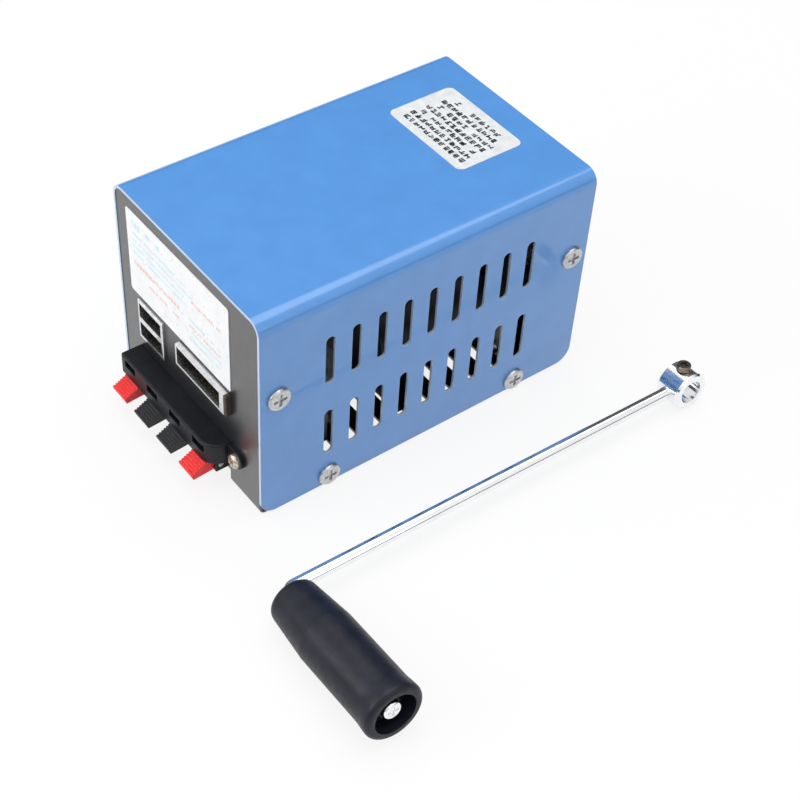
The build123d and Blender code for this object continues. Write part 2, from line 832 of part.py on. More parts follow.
lever_top = terminal_low - lever_body_gap
lever_rear = leaf_front - lever_rear_gap
lever_tip = -panel_face - lever_reach
slope_start = Vector(0, terminal_front + lever_rear_gap, lever_top)
slope_end = Vector(0, lever_tip, lever_tip_z)
slope = (slope_end - slope_start).normalized()
lever_names = ["lever_red_left", "lever_black_left", "lever_black_right", "lever_red_right"]
for name, x in zip(lever_names, lever_x):
    with BuildPart() as lever:
        with BuildSketch(Plane.YZ.offset(x - lever_width / 2)):
            with BuildLine():
                Polyline((slope_start.Y, lever_top), (lever_tip, lever_tip_z),
                         (lever_tip + lever_tip_rake, lever_tip_z - lever_tip_thickness),
                         (pivot_y, pivot_rib_low), (lever_rear, pivot_rib_low + lever_heel_rise),
                         (lever_rear, lever_top - lever_heel_bevel), (pivot_y, lever_top), close=True)
            make_face()
        extrude(amount=lever_width)
        fillet(lever.edges().filter_by(Axis.X).group_by(Axis.Y)[0], radius=lever_nose_round)
        with BuildSketch(Plane.YZ.offset(x - lever_width / 2)):
            with Locations((pivot_y, pivot_z)):
                Circle(pivot_pin_radius + pivot_running_gap)
        extrude(amount=lever_width, mode=Mode.SUBTRACT)
        # grip grooves on the sloping top of the key
        groove_plane = Plane(origin=(x, slope_start.Y, lever_top), x_dir=(1, 0, 0),
                             z_dir=Vector(1, 0, 0).cross(slope * -1))
        slope_length = (slope_end - slope_start).length
        with BuildSketch(groove_plane):
            for index in range(lever_groove_count):
                along = -slope_length * (index + 1) / (lever_groove_count + 1)
                with Locations((0, along)):
                    Rectangle(lever_width, lever_groove_width)
        extrude(amount=-lever_groove_depth, mode=Mode.SUBTRACT)
    finish(lever, name)

seat = Plane(origin=(ear_x, -panel_face - ear_thickness, ear_z), x_dir=(1, 0, 1), z_dir=(0, -1, 0))
screw = pan_screw(seat, ear_screw_head_radius, ear_screw_head_height, ear_screw_radius, ear_screw_length)
with BuildPart() as ear_screw:
    add(screw)
finish(ear_screw, "ear_screw")

# ---------------------------------------------------------------- gears


def gear_outline(module, teeth, centre, tooth_angle):
    """Corner points of an involute gear in the XZ plane, with one tooth at tooth_angle."""
    pitch_radius = module * teeth / 2
    base_radius = pitch_radius * math.cos(math.radians(pressure_angle))
    tip_radius = pitch_radius + addendum_factor * module
    root_radius = pitch_radius - dedendum_factor * module
    flank_start = max(base_radius, root_radius)
    half_at_pitch = (math.pi * module - backlash) / (4 * pitch_radius)

    def involute(angle):
        return math.tan(angle) - angle

    def half_angle(radius):
        roll = math.acos(min(1.0, base_radius / radius))
        return half_at_pitch + involute(math.radians(pressure_angle)) - involute(roll)

    radii = [flank_start + (tip_radius - flank_start) * step / 3 for step in range(4)]
    points = []
    for tooth in range(teeth):
        middle = math.radians(tooth_angle) + 2 * math.pi * tooth / teeth
        flank = [(radius, half_angle(radius)) for radius in radii]
        if root_radius < flank_start:
            flank.insert(0, (root_radius, half_angle(flank_start)))
        corners = [(radius, middle - half) for radius, half in flank]
        corners += [(radius, middle + half) for radius, half in reversed(flank)]
        points += [(centre[0] + radius * math.cos(turn), centre[1] + radius * math.sin(turn))
                   for radius, turn in corners]
    return points


def facing(angle):
    """Tooth angle of a pinion whose tooth gap takes the tooth of a wheel that looks along the angle."""
    return angle + 180.0 + 180.0 / pinion_teeth


with BuildPart() as drive_gear:
    with BuildSketch(across(wheel_1_rear)):
        with BuildLine():
            Polyline(*gear_outline(stage_1_module, wheel_1_teeth, drive_axis, stage_1_angle), close=True)
        make_face()
    extrude(amount=wheel_1_width)
    with BuildSketch(across(wheel_1_rear + pinion_overhang)):
        with Locations(drive_axis):
            Circle(drive_hub_radius)
    extrude(amount=wheel_1_width + 2 * pinion_overhang)
    with BuildSketch(across(wheel_1_rear + pinion_overhang)):
        with Locations(drive_axis):
            Circle(drive_shaft_radius)
        with Locations(drive_axis):
            with PolarLocations((drive_hub_radius + stage_1_module * wheel_1_teeth / 2) / 2, web_hole_count):
                Circle(web_hole_radius)
    extrude(amount=wheel_1_width + 2 * pinion_overhang, mode=Mode.SUBTRACT)
finish(drive_gear, "drive_gear")

clusters = [
    ("gear_cluster_a", layshaft_a, stage_1_module, wheel_1_rear, wheel_1_front, stage_1_angle,
     stage_2_module, wheel_2_teeth, wheel_2_rear, wheel_2_front, stage_2_angle),
    ("gear_cluster_b", layshaft_b, stage_2_module, wheel_2_rear, wheel_2_front, stage_2_angle,
     stage_3_module, wheel_3_teeth, wheel_3_rear, wheel_3_front, stage_3_angle),
]
for (name, axis, small_module, small_rear, small_front, small_angle,
     large_module, large_teeth, large_rear, large_front, large_angle) in clusters:
    with BuildPart() as cluster:
        with BuildSketch(across(small_rear + pinion_overhang)):
            with BuildLine():
                Polyline(*gear_outline(small_module, pinion_teeth, axis, facing(small_angle)), close=True)
            make_face()
        extrude(amount=small_rear - small_front + 2 * pinion_overhang)
        with BuildSketch(across(small_front)):
            with Locations(axis):
                Circle(gear_hub_radius)
        extrude(amount=small_front - large_front)
        with BuildSketch(across(large_rear)):
            with BuildLine():
                Polyline(*gear_outline(large_module, large_teeth, axis, large_angle), close=True)
            make_face()
        extrude(amount=large_rear - large_front)
        with BuildSketch(across(small_rear + pinion_overhang)):
            with Locations(axis):
                Circle(layshaft_radius)
        extrude(amount=small_rear - large_front + pinion_overhang, mode=Mode.SUBTRACT)
    finish(cluster, name)

with BuildPart() as rotor_pinion:
    with BuildSketch(across(wheel_3_rear + pinion_overhang)):
        with BuildLine():
            Polyline(*gear_outline(stage_3_module, pinion_teeth, rotor_axis, facing(stage_3_angle)),
                     close=True)
        make_face()
        with Locations(rotor_axis):
            Circle(rotor_shaft_radius, mode=Mode.SUBTRACT)
    extrude(amount=wheel_3_width + 2 * pinion_overhang)
finish(rotor_pinion, "rotor_pinion")

# ---------------------------------------------------------------- shafts and bearings

shaft_front = front_plate_front + end_gap
shaft_rear = box_length / 2 + drive_shaft_overhang
front_flange_rear = front_plate_rear + bearing_flange_thickness

drive_end_front = box_length / 2 + drive_end_gap

with BuildPart() as drive_shaft:
    with BuildSketch(across(drive_end_front)):
        with Locations(drive_axis):
            Circle(drive_shaft_radius)
    extrude(amount=drive_end_front - shaft_front)
    with BuildSketch(across(shaft_rear)):
        with Locations(drive_axis):
            Circle(drive_end_radius)
    extrude(amount=shaft_rear - drive_end_front)
    chamfer(drive_shaft.faces().sort_by(Axis.Y)[-1].edges(), length=shaft_chamfer)
    # shoulder that runs against the front bush
    with BuildSketch(across(front_flange_rear + end_gap + shoulder_length)):
        with Locations(drive_axis):
            Circle(drive_shaft_radius + shoulder_step)
    extrude(amount=shoulder_length)
finish(drive_shaft, "drive_shaft")

with BuildPart() as drive_bearings:
    with BuildSketch(across(box_length / 2)):
        with Locations(drive_axis):
            Circle(rear_bearing_radius)
    extrude(amount=box_length / 2 - rear_plate_front)
    with BuildSketch(across(rear_plate_front)):
        with Locations(drive_axis):
            Circle(rear_bearing_radius + bearing_flange)
    extrude(amount=bearing_flange_thickness)
    with BuildSketch(across(front_plate_rear)):
        with Locations(drive_axis):
            Circle(drive_shaft_radius + drive_bush_wall)
    extrude(amount=front_plate_thickness)
    with BuildSketch(across(front_flange_rear)):
        with Locations(drive_axis):
            Circle(drive_shaft_radius + drive_bush_wall + bearing_flange)
    extrude(amount=bearing_flange_thickness)
    with BuildSketch(across(box_length / 2)):
        with Locations(drive_axis):
            Circle(drive_shaft_radius + running_gap)
    extrude(amount=box_length, mode=Mode.SUBTRACT)
finish(drive_bearings, "drive_bearings")

for name, axis in (("layshaft_a", layshaft_a), ("layshaft_b", layshaft_b)):
    with BuildPart() as layshaft:
        with BuildSketch(across(panel_back - end_gap)):
            with Locations(axis):
                Circle(layshaft_radius)
        extrude(amount=panel_back - 2 * end_gap - front_plate_front)
    finish(layshaft, name)

with BuildPart() as layshaft_bushes:
    for rear, length in ((panel_back, rear_plate_thickness), (front_plate_rear, front_plate_thickness)):
        with BuildSketch(across(rear)):
            with Locations(layshaft_a, layshaft_b):
                Circle(layshaft_radius + bush_wall)
                Circle(layshaft_radius + running_gap, mode=Mode.SUBTRACT)
        extrude(amount=length)
finish(layshaft_bushes, "layshaft_bushes")

# ---------------------------------------------------------------- gearbox plates

plate_outline = [(plate_left, plate_low), (plate_step_x, plate_low), (plate_step_x, plate_step),
                 (plate_right, plate_step), (plate_right, plate_high), (plate_left, plate_high)]

with BuildPart() as gearbox_rear_plate:
    with BuildSketch(across(panel_back)):
        with BuildLine():
            Polyline(*plate_outline, close=True)
        make_face()
        with Locations(drive_axis):
            Circle(rear_bearing_radius, mode=Mode.SUBTRACT)
        with Locations(layshaft_a, layshaft_b):
            Circle(layshaft_radius + bush_wall, mode=Mode.SUBTRACT)
        with Locations(*pillar_places):
            Circle(gearbox_screw_radius, mode=Mode.SUBTRACT)
    extrude(amount=rear_plate_thickness)
finish(gearbox_rear_plate, "gearbox_rear_plate")

foot_top = panel_sheet + front_plate_thickness
with BuildPart() as gearbox_front_plate:
    with BuildSketch(across(front_plate_rear)):
        with BuildLine():
            Polyline(*plate_outline, close=True)
        make_face()
        with Locations(((foot_left + foot_right) / 2, (panel_sheet + plate_step) / 2)):
            Rectangle(foot_right - foot_left, plate_step - panel_sheet)
    extrude(amount=front_plate_thickness)
    with BuildSketch(Plane.XY.offset(panel_sheet)):
        with Locations(((foot_left + foot_right) / 2, front_plate_rear - foot_depth / 2)):
            Rectangle(foot_right - foot_left, foot_depth)
        with Locations(*foot_screw_places):
            Circle(gearbox_screw_radius, mode=Mode.SUBTRACT)
    extrude(amount=front_plate_thickness)
    with BuildSketch(across(front_plate_rear)):
        with Locations(drive_axis):
            Circle(drive_shaft_radius + drive_bush_wall)
        with Locations(layshaft_a, layshaft_b):
            Circle(layshaft_radius + bush_wall)
        with Locations(rotor_axis):
            Circle(boss_radius)
        with Locations(*pillar_places, *generator_screw_places):
            Circle(gearbox_screw_radius)
    extrude(amount=front_plate_thickness, mode=Mode.SUBTRACT)
finish(gearbox_front_plate, "gearbox_front_plate")

with BuildPart() as gearbox_pillars:
    with BuildSketch(across(rear_plate_front)):
        with Locations(*pillar_places):
            Circle(pillar_radius)
    extrude(amount=plate_spacing)
    for rear in (rear_plate_front, front_plate_rear + gearbox_screw_depth):
        with BuildSketch(across(rear)):
            with Locations(*pillar_places):
                Circle(gearbox_screw_radius)
        extrude(amount=gearbox_screw_depth, mode=Mode.SUBTRACT)
finish(gearbox_pillars, "gearbox_pillars")


# the screws of the pillars, of the foot and of the generator, each with its seat and length
screw_seats = [(Plane(origin=(x, panel_face, z), x_dir=(1, 0, 0), z_dir=(0, 1, 0)),
                panel_sheet + rear_plate_thickness + gearbox_screw_depth) for x, z in pillar_places]
screw_seats += [(Plane(origin=(x, front_plate_front, z), x_dir=(1, 0, 0), z_dir=(0, -1, 0)),
                 front_plate_thickness + gearbox_screw_depth) for x, z in pillar_places]
screw_seats += [(Plane(origin=(x, y, foot_top)), foot_top - end_gap) for x, y in foot_screw_places]
screw_seats += [(Plane(origin=(x, front_plate_rear, z), x_dir=(1, 0, 0), z_dir=(0, 1, 0)),
                 front_plate_thickness + can_wall) for x, z in generator_screw_places]
screws = [pan_screw(seat, gearbox_screw_head_radius, gearbox_screw_head_height, gearbox_screw_radius, length)
          for seat, length in screw_seats]
with BuildPart() as gearbox_screws:
    add(screws)
finish(gearbox_screws, "gearbox_screws")

# ---------------------------------------------------------------- generator

with BuildPart() as generator_can:
    with BuildSketch(across(can_rear)):
        with Locations(rotor_axis):
            Circle(can_radius)
    extrude(amount=can_length)
    fillet(generator_can.faces().sort_by(Axis.Y)[-1].edges(), radius=can_wall)
    with BuildSketch(across(can_rear - can_wall)):
        with Locations(rotor_axis):
            Circle(can_inner_radius)
    extrude(amount=can_length, mode=Mode.SUBTRACT)
    with BuildSketch(across(can_rear + boss_length)):
        with Locations(rotor_axis):
            Circle(boss_radius)
    extrude(amount=boss_length + can_wall)
    with BuildSketch(across(can_rear + boss_length)):
        with Locations(rotor_axis):
            Circle(rotor_bush_radius)
        with Locations(*generator_screw_places):
            Circle(gearbox_screw_radius)
    extrude(amount=boss_length + can_wall, mode=Mode.SUBTRACT)
finish(generator_can, "generator_can")

magnet_gap = 2 * can_inner_radius * math.sin(math.radians((180.0 - magnet_arc) / 2))
with BuildPart() as magnets:
    with BuildSketch(across((armature_front + armature_rear + magnet_length) / 2)):
        with Locations(rotor_axis):
            Circle(can_inner_radius)
            Circle(magnet_inner_radius, mode=Mode.SUBTRACT)
            Rectangle(2 * can_radius, magnet_gap, mode=Mode.SUBTRACT)
    extrude(amount=magnet_length)
finish(magnets, "magnets")

bell_front = can_front - end_bell_thickness
brush_start = commutator_radius + brush_gap
brush_end = brush_start + brush_length
with BuildPart() as end_bell:
    with BuildSketch(across(can_front)):
        with Locations(rotor_axis):
            Circle(can_radius)
    extrude(amount=end_bell_thickness)
    fillet(end_bell.faces().sort_by(Axis.Y)[0].edges(), radius=can_wall)
    with BuildSketch(across(can_front + end_bell_rim)):
        with Locations(rotor_axis):
            Circle(can_inner_radius)
            Circle(can_inner_radius - can_wall, mode=Mode.SUBTRACT)
    extrude(amount=end_bell_rim)
    # holders of the two brushes
    for side in (-1, 1):
        with BuildSketch(across(brush_y + brush_size / 2 + can_wall)):
            with Locations((rotor_axis[0] + side * (brush_start + can_inner_radius) / 2, rotor_axis[1])):
                Rectangle(can_inner_radius - brush_start - 2 * can_wall, brush_size + 2 * can_wall)
        extrude(amount=brush_y + brush_size / 2 + can_wall - can_front)
        with BuildSketch(across(brush_y + brush_size / 2)):
            with Locations((rotor_axis[0] + side * (brush_start + brush_end) / 2, rotor_axis[1])):
                Rectangle(brush_length, brush_size)
        extrude(amount=brush_size, mode=Mode.SUBTRACT)
    with BuildSketch(across(can_front)):
        with Locations(rotor_axis):
            Circle(rotor_bush_radius)
    extrude(amount=rotor_bush_length, mode=Mode.SUBTRACT)
finish(end_bell, "end_bell")

with BuildPart() as brushes:
    for side in (-1, 1):
        with BuildSketch(across(brush_y + brush_size / 2)):
            with Locations((rotor_axis[0] + side * (brush_start + brush_end) / 2, rotor_axis[1])):
                Rectangle(brush_length, brush_size)
        extrude(amount=brush_size)
finish(brushes, "brushes")

with BuildPart() as rotor_bushes:
    for rear in (can_rear + boss_length, can_front):
        with BuildSketch(across(rear)):
            with Locations(rotor_axis):
                Circle(rotor_bush_radius)
                Circle(rotor_shaft_radius + running_gap, mode=Mode.SUBTRACT)
        extrude(amount=min(rotor_bush_length, boss_length + can_wall))
finish(rotor_bushes, "rotor_bushes")

rotor_rear = wheel_3_rear + pinion_overhang
with BuildPart() as rotor_shaft:
    with BuildSketch(across(rotor_rear)):
        with Locations(rotor_axis):
            Circle(rotor_shaft_radius)
    extrude(amount=rotor_rear - can_front + rotor_bush_length - end_gap)
finish(rotor_shaft, "rotor_shaft")

slot_outer_radius = armature_radius - slot_rim
slot_middle_radius = (slot_inner_radius + slot_outer_radius) / 2
with BuildPart() as armature_core:
    with BuildSketch(across(armature_rear)):
        with Locations(rotor_axis):
            Circle(armature_radius)
            Circle(rotor_shaft_radius, mode=Mode.SUBTRACT)
            with PolarLocations(slot_middle_radius, armature_slots):
                Rectangle(slot_outer_radius - slot_inner_radius, slot_width, mode=Mode.SUBTRACT)
            with PolarLocations(armature_radius, armature_slots):
                Rectangle(2 * slot_rim, slot_mouth, mode=Mode.SUBTRACT)
    extrude(amount=armature_length)
finish(armature_core, "armature_core")

with BuildPart() as armature_windings:
    with BuildSketch(across(armature_rear + winding_end)):
        with Locations(rotor_axis):
            with PolarLocations(slot_middle_radius, armature_slots):
                Rectangle(slot_outer_radius - slot_inner_radius - 2 * winding_gap,
                          slot_width - 2 * winding_gap)
    extrude(amount=armature_length + 2 * winding_end)
    for rear in (armature_rear + winding_end, armature_front - winding_gap):
        with BuildSketch(across(rear)):
            with Locations(rotor_axis):
                Circle(slot_outer_radius)
                Circle(winding_inner_radius, mode=Mode.SUBTRACT)
        extrude(amount=winding_end - winding_gap)
    ends = armature_windings.faces().sort_by(Axis.Y)
    outer_rims = [ends[0].outer_wire().edges()[0], ends[-1].outer_wire().edges()[0]]
    fillet(outer_rims, radius=winding_round)
finish(armature_windings, "armature_windings")

with BuildPart() as commutator:
    with BuildSketch(across(commutator_rear)):
        with Locations(rotor_axis):
            Circle(commutator_radius)
            Circle(rotor_shaft_radius, mode=Mode.SUBTRACT)
            with PolarLocations(commutator_radius, armature_slots):
                Rectangle(2 * commutator_slit, commutator_slit, mode=Mode.SUBTRACT)
    extrude(amount=commutator_length)
finish(commutator, "commutator")

with BuildPart() as generator_saddle:
    with BuildSketch(across(saddle_y + saddle_thickness / 2)):
        with Locations((rotor_axis[0], (panel_sheet + rotor_axis[1] - saddle_drop) / 2)):
            Rectangle(2 * saddle_half_width, rotor_axis[1] - saddle_drop - panel_sheet)
        with Locations(rotor_axis):
            Circle(can_radius, mode=Mode.SUBTRACT)
    extrude(amount=saddle_thickness)
finish(generator_saddle, "generator_saddle")

# ---------------------------------------------------------------- parts on the board

with BuildPart() as capacitors:
    for x in capacitor_x:
        with BuildSketch(across(board_rear + capacitor_length)):
            with Locations((x, capacitor_z)):
                Circle(capacitor_radius)
        extrude(amount=capacitor_length)
    fillet(capacitors.faces().group_by(Axis.Y)[-1].edges(), radius=capacitor_round)
finish(capacitors, "capacitors")

with BuildPart() as rectifier:
    with BuildSketch(across(board_rear + rectifier_height)):
        with Locations((rectifier_x, rectifier_z)):
            Rectangle(rectifier_size, rectifier_size)
    extrude(amount=rectifier_height)
    chamfer(rectifier.edges().filter_by(Axis.Y).sort_by(Axis.Z)[-1], length=rectifier_corner)
finish(rectifier, "rectifier")

with BuildPart() as choke:
    with BuildSketch(across(board_rear + choke_height)):
        with Locations((choke_x, choke_z)):
            Circle(choke_radius)
            Circle(choke_hole, mode=Mode.SUBTRACT)
    extrude(amount=choke_height)
    fillet(choke.edges().filter_by(GeomType.CIRCLE), radius=choke_round)
finish(choke, "choke")

heat_sink_right = board_width / 2
with BuildPart() as heat_sink:
    with BuildSketch(Plane.XY.offset(heat_sink_low)):
        with Locations((heat_sink_right - heat_sink_width, board_rear)):
            Rectangle(heat_sink_base, heat_sink_depth, align=(Align.MIN, Align.MIN))
        for index in range(heat_sink_fins):
            fin_y = board_rear + index * (heat_sink_depth - heat_sink_fin) / (heat_sink_fins - 1)
            with Locations((heat_sink_right - heat_sink_width, fin_y)):
                Rectangle(heat_sink_width, heat_sink_fin, align=(Align.MIN, Align.MIN))
    extrude(amount=heat_sink_high - heat_sink_low)
finish(heat_sink, "heat_sink")

with BuildPart() as regulator:
    with BuildSketch(Plane.XY.offset((heat_sink_low + heat_sink_high - regulator_height) / 2)):
        with Locations((heat_sink_right - heat_sink_width, board_rear + heat_sink_fin)):
            Rectangle(regulator_thickness, regulator_width, align=(Align.MAX, Align.MIN))
    extrude(amount=regulator_height)
finish(regulator, "regulator")

with BuildPart() as lead_header:
    with BuildSketch(across(board_rear + header_depth)):
        with Locations((header_x, header_z)):
            Rectangle(header_width, header_height)
    extrude(amount=header_depth)
finish(lead_header, "lead_header")

lead_high = rotor_axis[1] + lead_rise
for name, side in (("lead_positive", 1), ("lead_negative", -1)):
    with BuildPart() as lead:
        x = header_x + side * lead_pitch / 2
        with BuildLine() as route:
            FilletPolyline((x, bell_front, lead_high), (x, bell_front - lead_bend, lead_high),
                           (x, board_rear + header_depth + lead_bend, header_z),
                           (x, board_rear + header_depth, header_z), radius=lead_bend)
        with BuildSketch(across(bell_front)):
            with Locations((x, lead_high)):
                Circle(lead_radius)
        sweep(path=route.line)
    finish(lead, name)

# ---------------------------------------------------------------- crank
# drawn with X along the grip and the bore of the hub, and Y from the grip to the hub

with BuildPart() as crank_hub:
    with BuildSketch(Plane.YZ.offset(-hub_length / 2)):
        with Locations((crank_radius, 0)):
            Circle(hub_radius)
    extrude(amount=hub_length)
    chamfer(crank_hub.edges().filter_by(GeomType.CIRCLE), length=hub_chamfer)
    with BuildSketch(Plane.YZ.offset(-hub_length / 2)):
        with Locations((crank_radius, 0)):
            Circle(hub_bore_radius)
    extrude(amount=hub_length, mode=Mode.SUBTRACT)
    with BuildSketch(across(rod_end)):
        Circle(rod_radius)
    extrude(amount=hub_radius, mode=Mode.SUBTRACT)
    with BuildSketch(Plane.XY):
        with Locations((0, crank_radius)):
            Circle(hub_screw_radius)
    extrude(amount=hub_radius, mode=Mode.SUBTRACT)
finish_crank(crank_hub, "crank_hub")

with BuildPart() as crank_arm:
    with BuildLine() as rod_route:
        FilletPolyline((0, rod_end, 0), (0, 0, 0), (spindle_end, 0, 0), radius=rod_bend)
    with BuildSketch(across(rod_end)):
        Circle(rod_radius)
    sweep(path=rod_route.line)
    with BuildSketch(Plane.YZ.offset(spindle_end)):
        Circle(grip_screw_radius)
    extrude(amount=-grip_screw_length, mode=Mode.SUBTRACT)
finish_crank(crank_arm, "crank_arm")

with BuildPart() as hub_screw:
    with BuildSketch(Plane.XY.offset(hub_radius + hub_screw_seat_gap)):
        with Locations((0, crank_radius)):
            Circle(hub_screw_head_radius)
    extrude(amount=hub_screw_head_height)
    chamfer(hub_screw.faces().sort_by(Axis.Z)[-1].edges(), length=hub_screw_chamfer)
    with BuildSketch(Plane.XY.offset(hub_radius + hub_screw_seat_gap + hub_screw_head_height)):
        with Locations((0, crank_radius)):
            RegularPolygon(hex_socket / 2, 6)
    extrude(amount=-hex_depth, mode=Mode.SUBTRACT)
    with BuildSketch(Plane.XY.offset(hub_bore_radius + hub_screw_seat_gap)):
        with Locations((0, crank_radius)):
            Circle(hub_screw_radius - running_gap)
    extrude(amount=hub_radius - hub_bore_radius)
finish_crank(hub_screw, "hub_screw")

with BuildPart() as grip:
    with BuildSketch(Plane.XY):
        with BuildLine():
            Polyline((boss_end, grip_bore_radius), (grip_start, grip_bore_radius),
                     (grip_start, grip_small_flat))
            Spline((grip_start, grip_small_flat), (grip_small_end, grip_small_radius),
                   tangents=[(0, 1), (grip_shoulder - grip_small_end, grip_body_radius - grip_small_radius)])
            Polyline((grip_small_end, grip_small_radius), (grip_shoulder, grip_body_radius),
                     (grip_flare_start, grip_body_radius))
            Spline((grip_flare_start, grip_body_radius), (grip_end - grip_end_round, grip_end_radius),
                   tangents=[(1, 0), (1, 0)])
            RadiusArc((grip_end - grip_end_round, grip_end_radius),
                      (grip_end, grip_end_radius - grip_end_round), grip_end_round)
            Polyline((grip_end, grip_end_radius - grip_end_round), (grip_end, grip_recess_radius),
                     (recess_floor, grip_recess_radius), (recess_floor, grip_boss_radius),
                     (boss_end, grip_boss_radius), (boss_end, grip_bore_radius))
        make_face()
    revolve(axis=Axis.X)
finish_crank(grip, "grip")

seat = Plane(origin=(spindle_end, 0, 0), x_dir=(0, 1, 0), z_dir=(1, 0, 0))
screw = pan_screw(seat, grip_screw_head_radius, grip_screw_head_height, grip_screw_radius, grip_screw_length)
with BuildPart() as grip_screw:
    add(screw)
finish_crank(grip_screw, "grip_screw")
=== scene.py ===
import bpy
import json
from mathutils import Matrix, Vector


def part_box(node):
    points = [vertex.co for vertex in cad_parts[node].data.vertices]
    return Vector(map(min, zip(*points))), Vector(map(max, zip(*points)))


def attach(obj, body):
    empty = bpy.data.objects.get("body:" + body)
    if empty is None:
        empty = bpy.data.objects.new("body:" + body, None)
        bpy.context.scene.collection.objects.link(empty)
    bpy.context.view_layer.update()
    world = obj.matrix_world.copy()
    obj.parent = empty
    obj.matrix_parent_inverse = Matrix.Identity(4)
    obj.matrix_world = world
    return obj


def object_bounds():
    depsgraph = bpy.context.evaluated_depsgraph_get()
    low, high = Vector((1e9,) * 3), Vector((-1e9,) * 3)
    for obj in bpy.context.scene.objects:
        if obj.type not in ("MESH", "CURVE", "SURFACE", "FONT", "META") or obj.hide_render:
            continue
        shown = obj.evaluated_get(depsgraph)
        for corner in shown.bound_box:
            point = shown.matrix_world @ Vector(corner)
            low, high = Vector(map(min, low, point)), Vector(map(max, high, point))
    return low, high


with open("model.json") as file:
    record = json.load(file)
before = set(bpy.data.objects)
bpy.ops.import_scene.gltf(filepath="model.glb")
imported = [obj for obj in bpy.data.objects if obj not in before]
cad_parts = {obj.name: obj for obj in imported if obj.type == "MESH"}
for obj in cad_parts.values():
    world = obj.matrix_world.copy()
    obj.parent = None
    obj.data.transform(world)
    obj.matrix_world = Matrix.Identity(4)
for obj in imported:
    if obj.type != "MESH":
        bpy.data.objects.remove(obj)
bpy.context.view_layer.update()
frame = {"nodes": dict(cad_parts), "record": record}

import json
import math
import random

import bmesh
import bpy
from mathutils import Matrix, Vector

MM = 0.001
random.seed(41)
scene = bpy.context.scene
scene.view_settings.view_transform = "Standard"

# ---------------------------------------------------------------- camera

CAMERA_PLACE = Vector((336.774, -259.091, 411.840)) * MM
CAMERA_AZIMUTH = math.radians(49.97)
CAMERA_ELEVATION = math.radians(45.26)
CAMERA_ROLL = math.radians(4.09)
CAMERA_CLIP = (0.01, 20.0)
FOCAL_PIXELS = 1665.075
IMAGE_PIXELS = 800
SENSOR = 36.0


def place_camera():
    """Camera at the place, direction and roll solved from the photograph."""
    data = bpy.data.cameras.new("photo_camera")
    data.sensor_width = SENSOR
    data.lens = FOCAL_PIXELS * SENSOR / IMAGE_PIXELS
    data.clip_start, data.clip_end = CAMERA_CLIP
    camera = bpy.data.objects.new("photo_camera", data)
    scene.collection.objects.link(camera)
    flat = math.cos(CAMERA_ELEVATION)
    back = Vector((math.sin(CAMERA_AZIMUTH) * flat, -math.cos(CAMERA_AZIMUTH) * flat,
                   math.sin(CAMERA_ELEVATION)))
    level = Vector((0, 0, 1)).cross(back).normalized()
    upright = back.cross(level)
    right = level * math.cos(CAMERA_ROLL) + upright * math.sin(CAMERA_ROLL)
    top = upright * math.cos(CAMERA_ROLL) - level * math.sin(CAMERA_ROLL)
    matrix = Matrix((right, top, back)).transposed().to_4x4()
    matrix.translation = CAMERA_PLACE
    camera.matrix_world = matrix
    scene.camera = camera


place_camera()

# ---------------------------------------------------------------- lamps

# each lamp: its place and its two sides in metres, and its power in watts
LAMP_TARGET = (0, 0, 0.04)
LAMPS = {
    "softbox_top": ((-0.10, 0.15, 1.30), (1.3, 1.3), 10.5),
    "softbox_front": ((-0.35, -1.15, 0.75), (0.9, 0.7), 7.5),
    "softbox_right": ((1.25, 0.10, 0.55), (0.8, 0.6), 1.6),
}


def area_light(name, place, size, watts):
    """Soft rectangular lamp that faces the object."""
    data = bpy.data.lights.new(name, "AREA")
    data.shape = "RECTANGLE"
    data.size, data.size_y = size
    data.energy = watts
    lamp = bpy.data.objects.new(name, data)
    scene.collection.objects.link(lamp)
    lamp.location = place
    lamp.rotation_euler = (Vector(LAMP_TARGET) - Vector(place)).to_track_quat("-Z", "Y").to_euler()


for lamp_name, lamp_values in LAMPS.items():
    area_light(lamp_name, *lamp_values)

# ---------------------------------------------------------------- shader nodes


